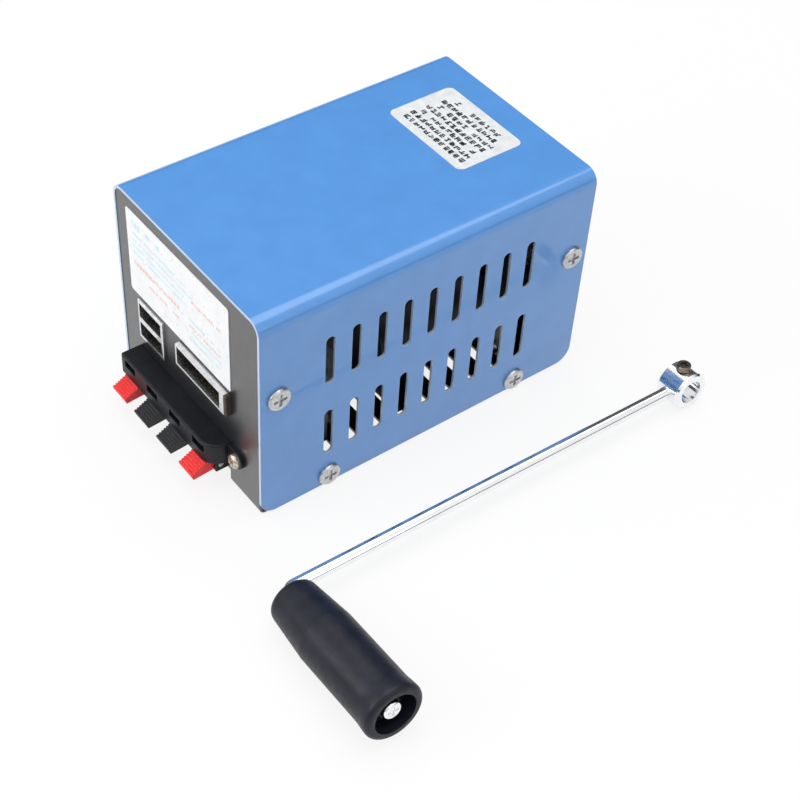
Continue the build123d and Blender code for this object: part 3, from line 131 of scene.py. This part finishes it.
class Nodes:
    """Short hand for the nodes of one material or of the world."""

    def __init__(self, tree):
        self.tree = tree
        tree.nodes.clear()

    def add(self, kind, **settings):
        item = self.tree.nodes.new(kind)
        for key, value in settings.items():
            setattr(item, key, value)
        return item

    def link(self, source, target):
        self.tree.links.new(source, target)

    def put(self, socket, value):
        """Set a socket to a number or a colour, or link it to another socket."""
        if isinstance(value, bpy.types.NodeSocket):
            self.link(value, socket)
        elif isinstance(value, (tuple, list)) and len(value) == 3 and socket.type == "RGBA":
            socket.default_value = (*value, 1.0)
        else:
            socket.default_value = value

    def math(self, operation, first, second=0.0):
        item = self.add("ShaderNodeMath", operation=operation)
        self.put(item.inputs[0], first)
        self.put(item.inputs[1], second)
        return item.outputs[0]

    def dot(self, first, second):
        """Dot product of two directions, as a number."""
        item = self.add("ShaderNodeVectorMath", operation="DOT_PRODUCT")
        self.put(item.inputs[0], first)
        self.put(item.inputs[1], second)
        return item.outputs["Value"]

    def split(self, vector):
        """The X, Y and Z sockets of a vector."""
        item = self.add("ShaderNodeSeparateXYZ")
        self.link(vector, item.inputs[0])
        return item.outputs

    def span(self, value, start, end, to_start, to_end):
        """Map a value from one range to another and clamp it there."""
        item = self.add("ShaderNodeMapRange")
        for socket, number in zip(item.inputs[:5], (value, start, end, to_start, to_end)):
            self.put(socket, number)
        return item.outputs[0]

    def blend(self, share, first, second):
        """Mix two colours."""
        item = self.add("ShaderNodeMix", data_type="RGBA")
        self.put(item.inputs[0], share)
        self.put(item.inputs[6], first)
        self.put(item.inputs[7], second)
        return item.outputs[2]

    def choose(self, share, first, second):
        """Mix two shaders."""
        item = self.add("ShaderNodeMixShader")
        self.link(share, item.inputs[0])
        self.link(first, item.inputs[1])
        self.link(second, item.inputs[2])
        return item.outputs[0]

    def place(self, stretch=(1, 1, 1)):
        """Coordinates in metres, fixed to the object."""
        coordinates = self.add("ShaderNodeTexCoord")
        mapping = self.add("ShaderNodeMapping")
        mapping.inputs["Scale"].default_value = stretch
        self.link(coordinates.outputs["Object"], mapping.inputs["Vector"])
        return mapping.outputs[0]

    def noise(self, size, detail=3.0, stretch=(1, 1, 1), roughness=0.5):
        """Noise whose features measure about size millimetres."""
        item = self.add("ShaderNodeTexNoise")
        self.link(self.place(stretch), item.inputs["Vector"])
        item.inputs["Scale"].default_value = 1.0 / (size * MM)
        item.inputs["Detail"].default_value = detail
        item.inputs["Roughness"].default_value = roughness
        return item.outputs["Fac"]

    def soft_normal(self, radius):
        """Normal of an edge rounded by a radius in millimetres."""
        item = self.add("ShaderNodeBevel", samples=4)
        item.inputs["Radius"].default_value = radius * MM
        return item.outputs[0]


# ---------------------------------------------------------------- studio around the object

# Each stop is a height from -1 (straight down) to 1 (straight up) and its brightness. The soft
# shades light the object; shiny surfaces mirror the bright ones, and the dark ones on one side.
SOFT_STOPS = ((-1.0, 0.40), (-0.06, 0.32), (0.04, 0.12), (0.16, 0.22), (0.5, 0.55), (1.0, 0.75))
BRIGHT_STOPS = ((-0.02, 0.04), (0.14, 0.05), (0.20, 0.80), (0.6, 1.00), (1.0, 0.85))
DARK_STOPS = ((-0.02, 0.04), (0.12, 0.06), (0.74, 0.12), (0.9, 0.50), (1.0, 0.75))
DARK_SIDE = (-0.5, 0.866, 0.0)
DARK_SPAN = (0.25, 0.60)  # closeness to that side where the dark shades start and are full
WHITE = (1, 1, 1)


def sky_shade(n, height, stops):
    """Grey shade of the studio by height."""
    ramp = n.add("ShaderNodeValToRGB")
    while len(ramp.color_ramp.elements) < len(stops):
        ramp.color_ramp.elements.new(0.5)
    for element, (at, shade) in zip(ramp.color_ramp.elements, stops):
        element.position = (at + 1) / 2
        element.color = (shade, shade, shade, 1.0)
    n.link(n.span(height, -1.0, 1.0, 0.0, 1.0), ramp.inputs[0])
    return ramp.outputs[0]


def light_world():
    """White behind the object; around it a soft studio, bright in front and dark at the far left."""
    world = bpy.data.worlds.new("studio")
    scene.world = world
    world.use_nodes = True
    n = Nodes(world.node_tree)
    direction = n.add("ShaderNodeTexCoord").outputs["Generated"]
    height = n.split(direction)["Z"]
    soft, bright, dark = (sky_shade(n, height, stops) for stops in (SOFT_STOPS, BRIGHT_STOPS, DARK_STOPS))
    mirrored = n.blend(n.span(n.dot(direction, DARK_SIDE), *DARK_SPAN, 0.0, 1.0), bright, dark)
    path = n.add("ShaderNodeLightPath")
    studio = n.add("ShaderNodeBackground")
    n.link(n.blend(path.outputs["Is Glossy Ray"], soft, mirrored), studio.inputs["Color"])
    white = n.add("ShaderNodeBackground")
    n.put(white.inputs["Color"], WHITE)
    seen = n.choose(path.outputs["Is Camera Ray"], studio.outputs[0], white.outputs[0])
    output = n.add("ShaderNodeOutputWorld")
    n.link(seen, output.inputs["Surface"])


light_world()

# ---------------------------------------------------------------- materials

# What a recipe says:
#   shades          the two colours that a blotchy noise mixes, with blotch its size in mm
#   rough           the span of the roughness
#   metallic, level how metallic the surface is, and its specular level
#   coat            weight of a clear coat, with gloss its index of refraction and haze its roughness
#   relief          fine relief, as (size in mm, depth in mm, stretch along X, Y and Z)
#   edge            radius in mm by which edges are softened
#   worn            colour of lightened edges, both rubbed wear and painted highlight
#   cut             painted highlight colour on the sheet's cut ends and on the walls of the vents
#   specks          dust, as (colour, size in mm)
EVEN = (1, 1, 1)
RECIPES = {
    # the blue paint's lighter edge colour is a painted highlight
    "blue_paint": dict(
        shades=((0.066, 0.256, 0.630), (0.075, 0.276, 0.670)), blotch=9.0, rough=(0.34, 0.44), coat=1.0,
        gloss=1.5, haze=0.10, relief=((1.1, 0.005, EVEN), (0.25, 0.0015, EVEN)), edge=0.35,
        wear_and_highlight=(0.56, 0.70, 0.92), cut=(0.62, 0.72, 0.86), specks=((0.03, 0.10, 0.30), 1.3)),
    "black_paint": dict(
        shades=((0.009, 0.010, 0.014), (0.014, 0.015, 0.020)), blotch=6.0, rough=(0.36, 0.48),
        level=0.15, coat=1.0, gloss=1.65, haze=0.28, relief=((0.5, 0.004, EVEN),), edge=0.2,
        wear_and_highlight=(0.20, 0.20, 0.21), specks=((0.10, 0.10, 0.11), 1.1)),
    "screw_steel": dict(
        shades=((0.45, 0.45, 0.47), (0.66, 0.66, 0.67)), blotch=0.8, rough=(0.22, 0.42), metallic=1.0,
        relief=((0.25, 0.006, EVEN),), edge=0.12),
    "label_front": dict(
        shades=((0.86, 0.88, 0.90), (0.93, 0.94, 0.95)), blotch=5.0, rough=(0.25, 0.38), coat=0.3,
        relief=((3.0, 0.004, EVEN),), edge=0.05),
    "label_top": dict(
        shades=((0.62, 0.64, 0.66), (0.74, 0.76, 0.78)), blotch=3.0, rough=(0.28, 0.42), coat=0.2,
        relief=((0.6, 0.004, EVEN),), edge=0.05),
    "board": dict(
        shades=((0.010, 0.085, 0.035), (0.020, 0.130, 0.055)), blotch=2.2, rough=(0.28, 0.40), coat=0.3,
        relief=((0.8, 0.01, (1, 6, 1)),), edge=0.1),
    "brass_part": dict(
        shades=((0.62, 0.44, 0.17), (0.80, 0.60, 0.28)), blotch=1.2, rough=(0.22, 0.38), metallic=1.0,
        relief=((0.2, 0.003, (1, 0.05, 1)),), edge=0.1),
    "plated_shell": dict(
        shades=((0.66, 0.66, 0.67), (0.84, 0.84, 0.85)), blotch=1.6, rough=(0.16, 0.30), metallic=1.0,
        relief=((0.4, 0.003, (1, 0.2, 1)),), edge=0.12),
    "dark_plastic": dict(
        shades=((0.012, 0.012, 0.014), (0.022, 0.022, 0.024)), blotch=1.5, rough=(0.42, 0.58),
        relief=((0.2, 0.003, EVEN),), edge=0.1),
    "contact_metal": dict(
        shades=((0.72, 0.54, 0.24), (0.88, 0.72, 0.40)), blotch=0.7, rough=(0.15, 0.28), metallic=1.0,
        relief=((0.2, 0.002, (1, 0.1, 1)),), edge=0.05),
    "brown_plastic": dict(
        shades=((0.035, 0.018, 0.012), (0.060, 0.030, 0.020)), blotch=1.4, rough=(0.38, 0.52),
        relief=((0.25, 0.003, EVEN),), edge=0.12),
    "black_plastic": dict(
        shades=((0.0055, 0.0065, 0.0100), (0.0100, 0.0110, 0.0150)), blotch=3.5, rough=(0.34, 0.50),
        level=0.25, relief=((0.35, 0.004, EVEN),), edge=0.25, wear_and_highlight=(0.10, 0.10, 0.11)),
    "brass_screw": dict(
        shades=((0.30, 0.25, 0.17), (0.82, 0.76, 0.64)), blotch=0.7, rough=(0.20, 0.40), metallic=1.0,
        relief=((0.2, 0.005, EVEN),), edge=0.12),
    "plate_steel": dict(
        shades=((0.22, 0.22, 0.23), (0.32, 0.32, 0.33)), blotch=5.0, rough=(0.32, 0.50), metallic=1.0,
        relief=((0.3, 0.003, (0.05, 1, 1)),), edge=0.2),
    "bush_bronze": dict(
        shades=((0.44, 0.28, 0.12), (0.60, 0.40, 0.20)), blotch=0.7, rough=(0.34, 0.50), metallic=1.0,
        relief=((0.2, 0.006, EVEN),), edge=0.15),
    # can_steel is kept near black: painted shade for the inside of the box, seen through the vents
    "can_steel": dict(
        shades=((0.045, 0.046, 0.050), (0.075, 0.077, 0.082)), blotch=4.0, rough=(0.38, 0.52),
        metallic=0.4, relief=((0.3, 0.002, (1, 0.06, 1)),), edge=0.2),
    "magnet": dict(
        shades=((0.040, 0.040, 0.044), (0.070, 0.070, 0.075)), blotch=1.0, rough=(0.55, 0.75),
        relief=((0.3, 0.01, EVEN),), edge=0.15),
    "carbon": dict(
        shades=((0.018, 0.018, 0.019), (0.035, 0.035, 0.036)), blotch=0.5, rough=(0.45, 0.65),
        relief=((0.15, 0.006, EVEN),), edge=0.1),
    "capacitor_sleeve": dict(
        shades=((0.015, 0.022, 0.070), (0.024, 0.034, 0.100)), blotch=3.0, rough=(0.18, 0.30), coat=0.4,
        relief=((1.5, 0.006, EVEN),), edge=0.2),
    "choke_ring": dict(
        shades=((0.10, 0.050, 0.020), (0.42, 0.19, 0.08)), blotch=0.9, rough=(0.25, 0.45),
        relief=((0.8, 0.06, (1, 0.2, 1)),), edge=0.15),
    "sink_aluminium": dict(
        shades=((0.60, 0.61, 0.62), (0.74, 0.75, 0.76)), blotch=3.0, rough=(0.30, 0.48), metallic=1.0,
        relief=((0.2, 0.003, (1, 1, 0.04)),), edge=0.1),
    "header_plastic": dict(
        shades=((0.74, 0.72, 0.64), (0.84, 0.82, 0.75)), blotch=2.0, rough=(0.35, 0.50),
        relief=((0.3, 0.002, EVEN),), edge=0.15),
    "lead_red": dict(
        shades=((0.46, 0.016, 0.014), (0.62, 0.030, 0.026)), blotch=2.0, rough=(0.35, 0.50),
        relief=((0.5, 0.004, EVEN),), edge=0.05),
    "lead_black": dict(
        shades=((0.012, 0.012, 0.013), (0.025, 0.025, 0.026)), blotch=2.0, rough=(0.35, 0.50),
        relief=((0.5, 0.004, EVEN),), edge=0.05),
    "shaft_steel": dict(
        shades=((0.58, 0.59, 0.60), (0.74, 0.75, 0.76)), blotch=2.0, rough=(0.14, 0.28), metallic=1.0,
        relief=((0.15, 0.0015, (1, 12, 1)),), edge=0.15),
    "gear_plastic": dict(
        shades=((0.70, 0.68, 0.60), (0.80, 0.78, 0.71)), blotch=2.5, rough=(0.38, 0.55),
        relief=((0.5, 0.004, EVEN),), edge=0.12),
    "gear_brass": dict(
        shades=((0.60, 0.43, 0.17), (0.78, 0.58, 0.27)), blotch=0.8, rough=(0.24, 0.40), metallic=1.0,
        relief=((0.15, 0.003, (1, 0.1, 1)),), edge=0.08),
    "core_iron": dict(
        shades=((0.26, 0.26, 0.28), (0.44, 0.44, 0.46)), blotch=1.5, rough=(0.34, 0.52), metallic=1.0,
        relief=((0.5, 0.03, (0.02, 1, 0.02)),), edge=0.08),
    "winding_copper": dict(
        shades=((0.36, 0.110, 0.035), (0.66, 0.250, 0.100)), blotch=0.6, rough=(0.25, 0.42), coat=0.4,
        relief=((0.35, 0.06, (1, 0.05, 1)),), edge=0.1),
    "commutator_copper": dict(
        shades=((0.62, 0.30, 0.16), (0.80, 0.42, 0.25)), blotch=0.8, rough=(0.22, 0.36), metallic=1.0,
        relief=((0.2, 0.003, (1, 8, 1)),), edge=0.08),
    "red_plastic": dict(
        shades=((0.84, 0.022, 0.024), (0.94, 0.036, 0.036)), blotch=2.0, rough=(0.30, 0.44), level=0.35,
        relief=((0.4, 0.004, EVEN),), edge=0.2, wear_and_highlight=(0.95, 0.28, 0.24)),
    "black_key": dict(
        shades=((0.008, 0.009, 0.011), (0.015, 0.016, 0.019)), blotch=2.0, rough=(0.30, 0.44),
        level=0.3, relief=((0.4, 0.004, EVEN),), edge=0.2, wear_and_highlight=(0.14, 0.14, 0.15)),
    "chrome_plate": dict(
        shades=((0.86, 0.87, 0.88), (0.93, 0.94, 0.95)), blotch=6.0, rough=(0.08, 0.16), metallic=1.0,
        relief=((2.5, 0.003, EVEN),), edge=0.15),
    "dark_screw": dict(
        shades=((0.10, 0.075, 0.060), (0.34, 0.28, 0.24)), blotch=0.9, rough=(0.22, 0.42), metallic=1.0,
        relief=((0.25, 0.006, EVEN),), edge=0.12),
    "grip_rubber": dict(
        shades=((0.005, 0.006, 0.012), (0.011, 0.012, 0.022)), blotch=5.0, rough=(0.34, 0.54),
        level=0.33, relief=((0.35, 0.007, EVEN), (4.0, 0.008, EVEN)), edge=0.3,
        wear_and_highlight=(0.060, 0.062, 0.070)),
    "ink_dark": dict(
        shades=((0.008, 0.009, 0.012), (0.030, 0.032, 0.045)), blotch=0.8, rough=(0.35, 0.55),
        relief=((0.4, 0.001, EVEN),)),
    "ink_cyan": dict(
        shades=((0.48, 0.76, 0.86), (0.66, 0.85, 0.91)), blotch=0.8, rough=(0.35, 0.55),
        relief=((0.4, 0.001, EVEN),)),
    "ink_red": dict(
        shades=((0.84, 0.46, 0.42), (0.88, 0.66, 0.62)), blotch=0.8, rough=(0.35, 0.55),
        relief=((0.4, 0.001, EVEN),)),
}

# spans of noise or of direction over which each effect of a material fades in or out
BLOTCH_SPAN = (0.32, 0.68)
STREAK_SIZE = 0.37  # share of the blotches' size
STREAK_SPAN = (0.30, 0.70)
EDGE_SPAN = (0.97, 0.80)
EDGE_WEAR_AND_HIGHLIGHT = 0.75  # most that an edge takes of its colour of wear and painted highlight
EDGE_PATCH_SIZE = 1.3  # patches of wear and painted highlight along the edges, in mm
EDGE_PATCH_SPAN = (0.38, 0.58)
EDGE_PATCH_LEAST = 0.35
CUT_HIGHLIGHT_SHARE = 0.8
CUT_END_SPAN = (0.90, 0.97)
CUT_WALL_SPAN = (0.10, 0.30)
BEND_DEPTH = 5.5  # the vents lie below the upper bends, which end this far below the top
BEND_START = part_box("cover")[1].z - BEND_DEPTH * MM
SPECK_SPAN = (0.05, 0.09)
SPECK_SHARE = 0.5
SPECK_FIELD = 4.0  # fields of specks, in mm
SPECK_FIELD_SPAN = (0.55, 0.62)


def wear_and_highlight_edges(n, colour, wear_and_highlight, edge):
    """Edges lighten in patches where the normal of a rounded edge leaves the true one: rubbed wear and
    painted highlight.
    """
    true = n.add("ShaderNodeNewGeometry").outputs["Normal"]
    lightened = n.span(n.dot(n.soft_normal(edge), true), *EDGE_SPAN, 0.0, EDGE_WEAR_AND_HIGHLIGHT)
    patches = n.span(n.noise(EDGE_PATCH_SIZE, detail=4.0), *EDGE_PATCH_SPAN, EDGE_PATCH_LEAST, 1.0)
    return n.blend(n.math("MULTIPLY", lightened, patches), colour, wear_and_highlight)


def painted_cut_highlight(n, colour, cut):
    """Painted highlight: the cut ends of the sheet and the walls of the vents are made lighter."""
    facing = n.split(n.add("ShaderNodeNewGeometry").outputs["True Normal"])
    end = n.span(n.math("ABSOLUTE", facing["Y"]), *CUT_END_SPAN, 0.0, CUT_HIGHLIGHT_SHARE)
    wall = n.span(n.math("ABSOLUTE", facing["X"]), *CUT_WALL_SPAN, CUT_HIGHLIGHT_SHARE, 0.0)
    below_bend = n.math("LESS_THAN", n.split(n.place())["Z"], BEND_START)
    return n.blend(n.math("MAXIMUM", end, n.math("MULTIPLY", wall, below_bend)), colour, cut)


def strew_specks(n, colour, speck_colour, size):
    """Small specks of dust that gather in fields."""
    dust = n.add("ShaderNodeTexVoronoi", feature="F1")
    n.link(n.place(), dust.inputs["Vector"])
    dust.inputs["Scale"].default_value = 1.0 / (size * MM)
    spot = n.span(dust.outputs["Distance"], *SPECK_SPAN, SPECK_SHARE, 0.0)
    field = n.span(n.noise(SPECK_FIELD, detail=2.0), *SPECK_FIELD_SPAN, 0.0, 1.0)
    return n.blend(n.math("MULTIPLY", spot, field), colour, speck_colour)


def build_material(name, shades, blotch, rough, relief, metallic=0.0, level=0.5, coat=0.0, gloss=1.5,
                   haze=0.16, edge=0.0, wear_and_highlight=None, cut=None, specks=None):
    """Procedural material from one recipe."""
    material = bpy.data.materials.new(name)
    material.use_nodes = True
    n = Nodes(material.node_tree)
    shader = n.add("ShaderNodeBsdfPrincipled")
    output = n.add("ShaderNodeOutputMaterial")
    n.link(shader.outputs[0], output.inputs["Surface"])
    shader.inputs["Metallic"].default_value = metallic
    shader.inputs["Specular IOR Level"].default_value = level
    shader.inputs["Coat Weight"].default_value = coat
    shader.inputs["Coat Roughness"].default_value = haze
    shader.inputs["Coat IOR"].default_value = gloss
    colour = n.blend(n.span(n.noise(blotch, detail=4.0), *BLOTCH_SPAN, 0.0, 1.0), *shades)
    # lightened edges: rubbed wear and painted highlight
    if wear_and_highlight:
        colour = wear_and_highlight_edges(n, colour, wear_and_highlight, edge)
    # painted highlight on the cut ends and the walls of the vents
    if cut:
        colour = painted_cut_highlight(n, colour, cut)
    if specks:
        colour = strew_specks(n, colour, *specks)
    n.link(colour, shader.inputs["Base Color"])
    streaks = n.noise(blotch * STREAK_SIZE, detail=5.0, roughness=0.65)
    n.link(n.span(streaks, *STREAK_SPAN, *rough), shader.inputs["Roughness"])
    normal = n.soft_normal(edge) if edge else None
    for size, depth, stretch in relief:
        bump = n.add("ShaderNodeBump")
        bump.inputs["Strength"].default_value = 1.0
        bump.inputs["Distance"].default_value = depth * MM
        n.link(n.noise(size, stretch=stretch), bump.inputs["Height"])
        if normal:
            n.link(normal, bump.inputs["Normal"])
        normal = bump.outputs[0]
    n.link(normal, shader.inputs["Normal"])
    return material


materials = {name: build_material(name, **recipe) for name, recipe in RECIPES.items()}
for entry in frame["record"]["subparts"]:
    node_object = frame["nodes"][entry["node"]]
    wanted = materials[entry["material_slot"]]
    if not node_object.material_slots:
        node_object.data.materials.append(wanted)
    for slot in node_object.material_slots:
        slot.material = wanted

# ---------------------------------------------------------------- helpers for the added pieces


def mesh_of(name, work):
    """Mesh from an open bmesh, which is closed."""
    mesh = bpy.data.meshes.new(name)
    work.to_mesh(mesh)
    work.free()
    return mesh


def add_piece(name, work, body, material):
    """Turn an open bmesh into a piece that rides on a body and takes a slot's finish."""
    piece = bpy.data.objects.new(name, mesh_of(name, work))
    scene.collection.objects.link(piece)
    piece.data.materials.append(materials[material])
    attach(piece, body)


def add_block(work, centre, size):
    """One box of a given size, in millimetres, in an open bmesh."""
    made = bmesh.ops.create_cube(work, size=1.0)
    for vertex in made["verts"]:
        vertex.co = Vector([(c + v * s) * MM for c, v, s in zip(centre, vertex.co, size)])


# ---------------------------------------------------------------- generic print on the labels

INK_DEPTH = 0.03

# Rows of blocks on the front label, in shares of a row's height: width and height of a block, the
# space after it, and how often one is left out.
BLOCK_WIDTH = (0.35, 1.1)
BLOCK_HEIGHT = (0.55, 1.0)
BLOCK_SPACE = (0.18, 0.40)
BLOCK_LEFT_OUT = 0.16
# each row: indent, drop below the label's top edge, length and height, in mm
FRONT_ROWS = {
    "cyan": ((3.5, 4.5, 15.0, 2.4), (3.5, 8.6, 30.0, 1.1), (3.5, 11.2, 34.0, 1.1),
             (3.5, 13.8, 30.0, 1.1), (3.5, 16.4, 32.0, 1.1), (36.0, 21.0, 18.0, 1.1),
             (36.0, 26.0, 19.0, 1.1), (36.0, 29.0, 17.0, 1.1)),
    "red": ((3.5, 20.8, 27.0, 1.7), (38.0, 12.5, 16.0, 1.2), (36.0, 23.6, 18.0, 1.1),
            (12.0, 25.5, 18.0, 1.2)),
}

# Rows of cells on the top label, in shares of the cell's side: pitch of the cells, spacing of the
# strokes in one, their length, width and shift, and how often a stroke lies along the row.
CELL = 2.15
CELL_PITCH = 1.22
STROKE_COUNTS = (3, 4, 4, 5)
STROKE_SPACING = 0.34
STROKE_LENGTH = (0.45, 0.92)
STROKE_WIDTH = (0.20, 0.31)
STROKE_SHIFT = (-0.15, 0.15)
STROKE_LEVEL = 0.55
# each row: offset from the label's front edge and indent in mm, count of cells, share left out
TOP_ROWS = ((4.0, 4.4, 12, 0.05), (7.1, 3.8, 12, 0.08), (10.2, 5.4, 11, 0.28), (13.3, 4.2, 12, 0.12),
            (16.4, 3.9, 12, 0.18), (19.5, 5.0, 11, 0.06), (22.6, 8.2, 9, 0.25))


def print_blocks(work, start, length, height):
    """A row of plain blocks of ink along X, a stand-in for small print that says nothing."""
    at = 0.0
    while at < length:
        width = random.uniform(*BLOCK_WIDTH) * height
        if random.random() > BLOCK_LEFT_OUT:
            tall = height * random.uniform(*BLOCK_HEIGHT)
            lift = random.uniform(-0.5, 0.5) * (height - tall)
            add_block(work, start + Vector((at + width / 2, 0, lift)), (width, INK_DEPTH, tall))
        at += width + height * random.uniform(*BLOCK_SPACE)


def print_cells(work, start, count, left_out):
    """A row of square cells along X, each filled with a few plain strokes that spell nothing."""
    for index in range(count):
        if random.random() < left_out:
            continue
        middle = start + Vector(((index + 0.5) * CELL * CELL_PITCH, 0, 0))
        for stroke in range(random.choice(STROKE_COUNTS)):
            lift = (stroke % 3 - 1) * CELL * STROKE_SPACING
            long_side = CELL * random.uniform(*STROKE_LENGTH)
            wide = CELL * random.uniform(*STROKE_WIDTH)
            shift = random.uniform(*STROKE_SHIFT) * CELL
            if random.random() < STROKE_LEVEL:
                place, size = Vector((shift, lift, 0)), (long_side, wide, INK_DEPTH)
            else:
                place, size = Vector((lift, shift, 0)), (wide, long_side, INK_DEPTH)
            add_block(work, middle + place, size)


def print_labels():
    """Raised ink on the top label and, in two colours, on the front label."""
    lowest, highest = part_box("top_label")
    x0, y0 = lowest.x / MM, lowest.y / MM
    top = highest.z / MM + INK_DEPTH / 2
    work = bmesh.new()
    for offset, indent, count, left_out in TOP_ROWS:
        print_cells(work, Vector((x0 + indent, y0 + offset, top)), count, left_out)
    add_piece("top_label_print", work, "housing", "ink_dark")
    lowest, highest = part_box("front_label")
    x0, z1 = lowest.x / MM, highest.z / MM
    face = lowest.y / MM - INK_DEPTH / 2
    for ink, rows in FRONT_ROWS.items():
        work = bmesh.new()
        for indent, drop, length, height in rows:
            print_blocks(work, Vector((x0 + indent, face, z1 - drop)), length, height)
        add_piece("front_label_print_" + ink, work, "housing", "ink_" + ink)


print_labels()

# ---------------------------------------------------------------- floor

FLOOR_HALF = 6.0
FLOOR_DROP = 0.0002
FLOOR_SHADES = (0.78, 0.82)
FLOOR_BLOTCH = 400.0
FLOOR_SPAN = (0.3, 0.7)
FLOOR_GLOW = 0.85


def lay_floor():
    """Plain white floor that keeps a faint shadow of the object."""
    work = bmesh.new()
    bmesh.ops.create_grid(work, x_segments=1, y_segments=1, size=FLOOR_HALF)
    floor = bpy.data.objects.new("floor", mesh_of("floor", work))
    scene.collection.objects.link(floor)
    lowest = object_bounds()[0]
    floor.location.z = lowest.z - FLOOR_DROP
    material = bpy.data.materials.new("floor_white")
    material.use_nodes = True
    n = Nodes(material.node_tree)
    matte = n.add("ShaderNodeBsdfDiffuse")
    shade = n.span(n.noise(FLOOR_BLOTCH, detail=2.0), *FLOOR_SPAN, *FLOOR_SHADES)
    joined = n.add("ShaderNodeCombineColor")
    for socket in joined.inputs[:3]:
        n.link(shade, socket)
    n.link(joined.outputs[0], matte.inputs["Color"])
    glow = n.add("ShaderNodeEmission")
    n.put(glow.inputs["Color"], WHITE)
    path = n.add("ShaderNodeLightPath")
    seen = n.math("MAXIMUM", path.outputs["Is Camera Ray"], path.outputs["Is Glossy Ray"])
    seen = n.math("MAXIMUM", seen, path.outputs["Is Transmission Ray"])
    mixed = n.choose(n.math("MULTIPLY", seen, FLOOR_GLOW), matte.outputs[0], glow.outputs[0])
    output = n.add("ShaderNodeOutputMaterial")
    n.link(mixed, output.inputs["Surface"])
    floor.data.materials.append(material)


lay_floor()
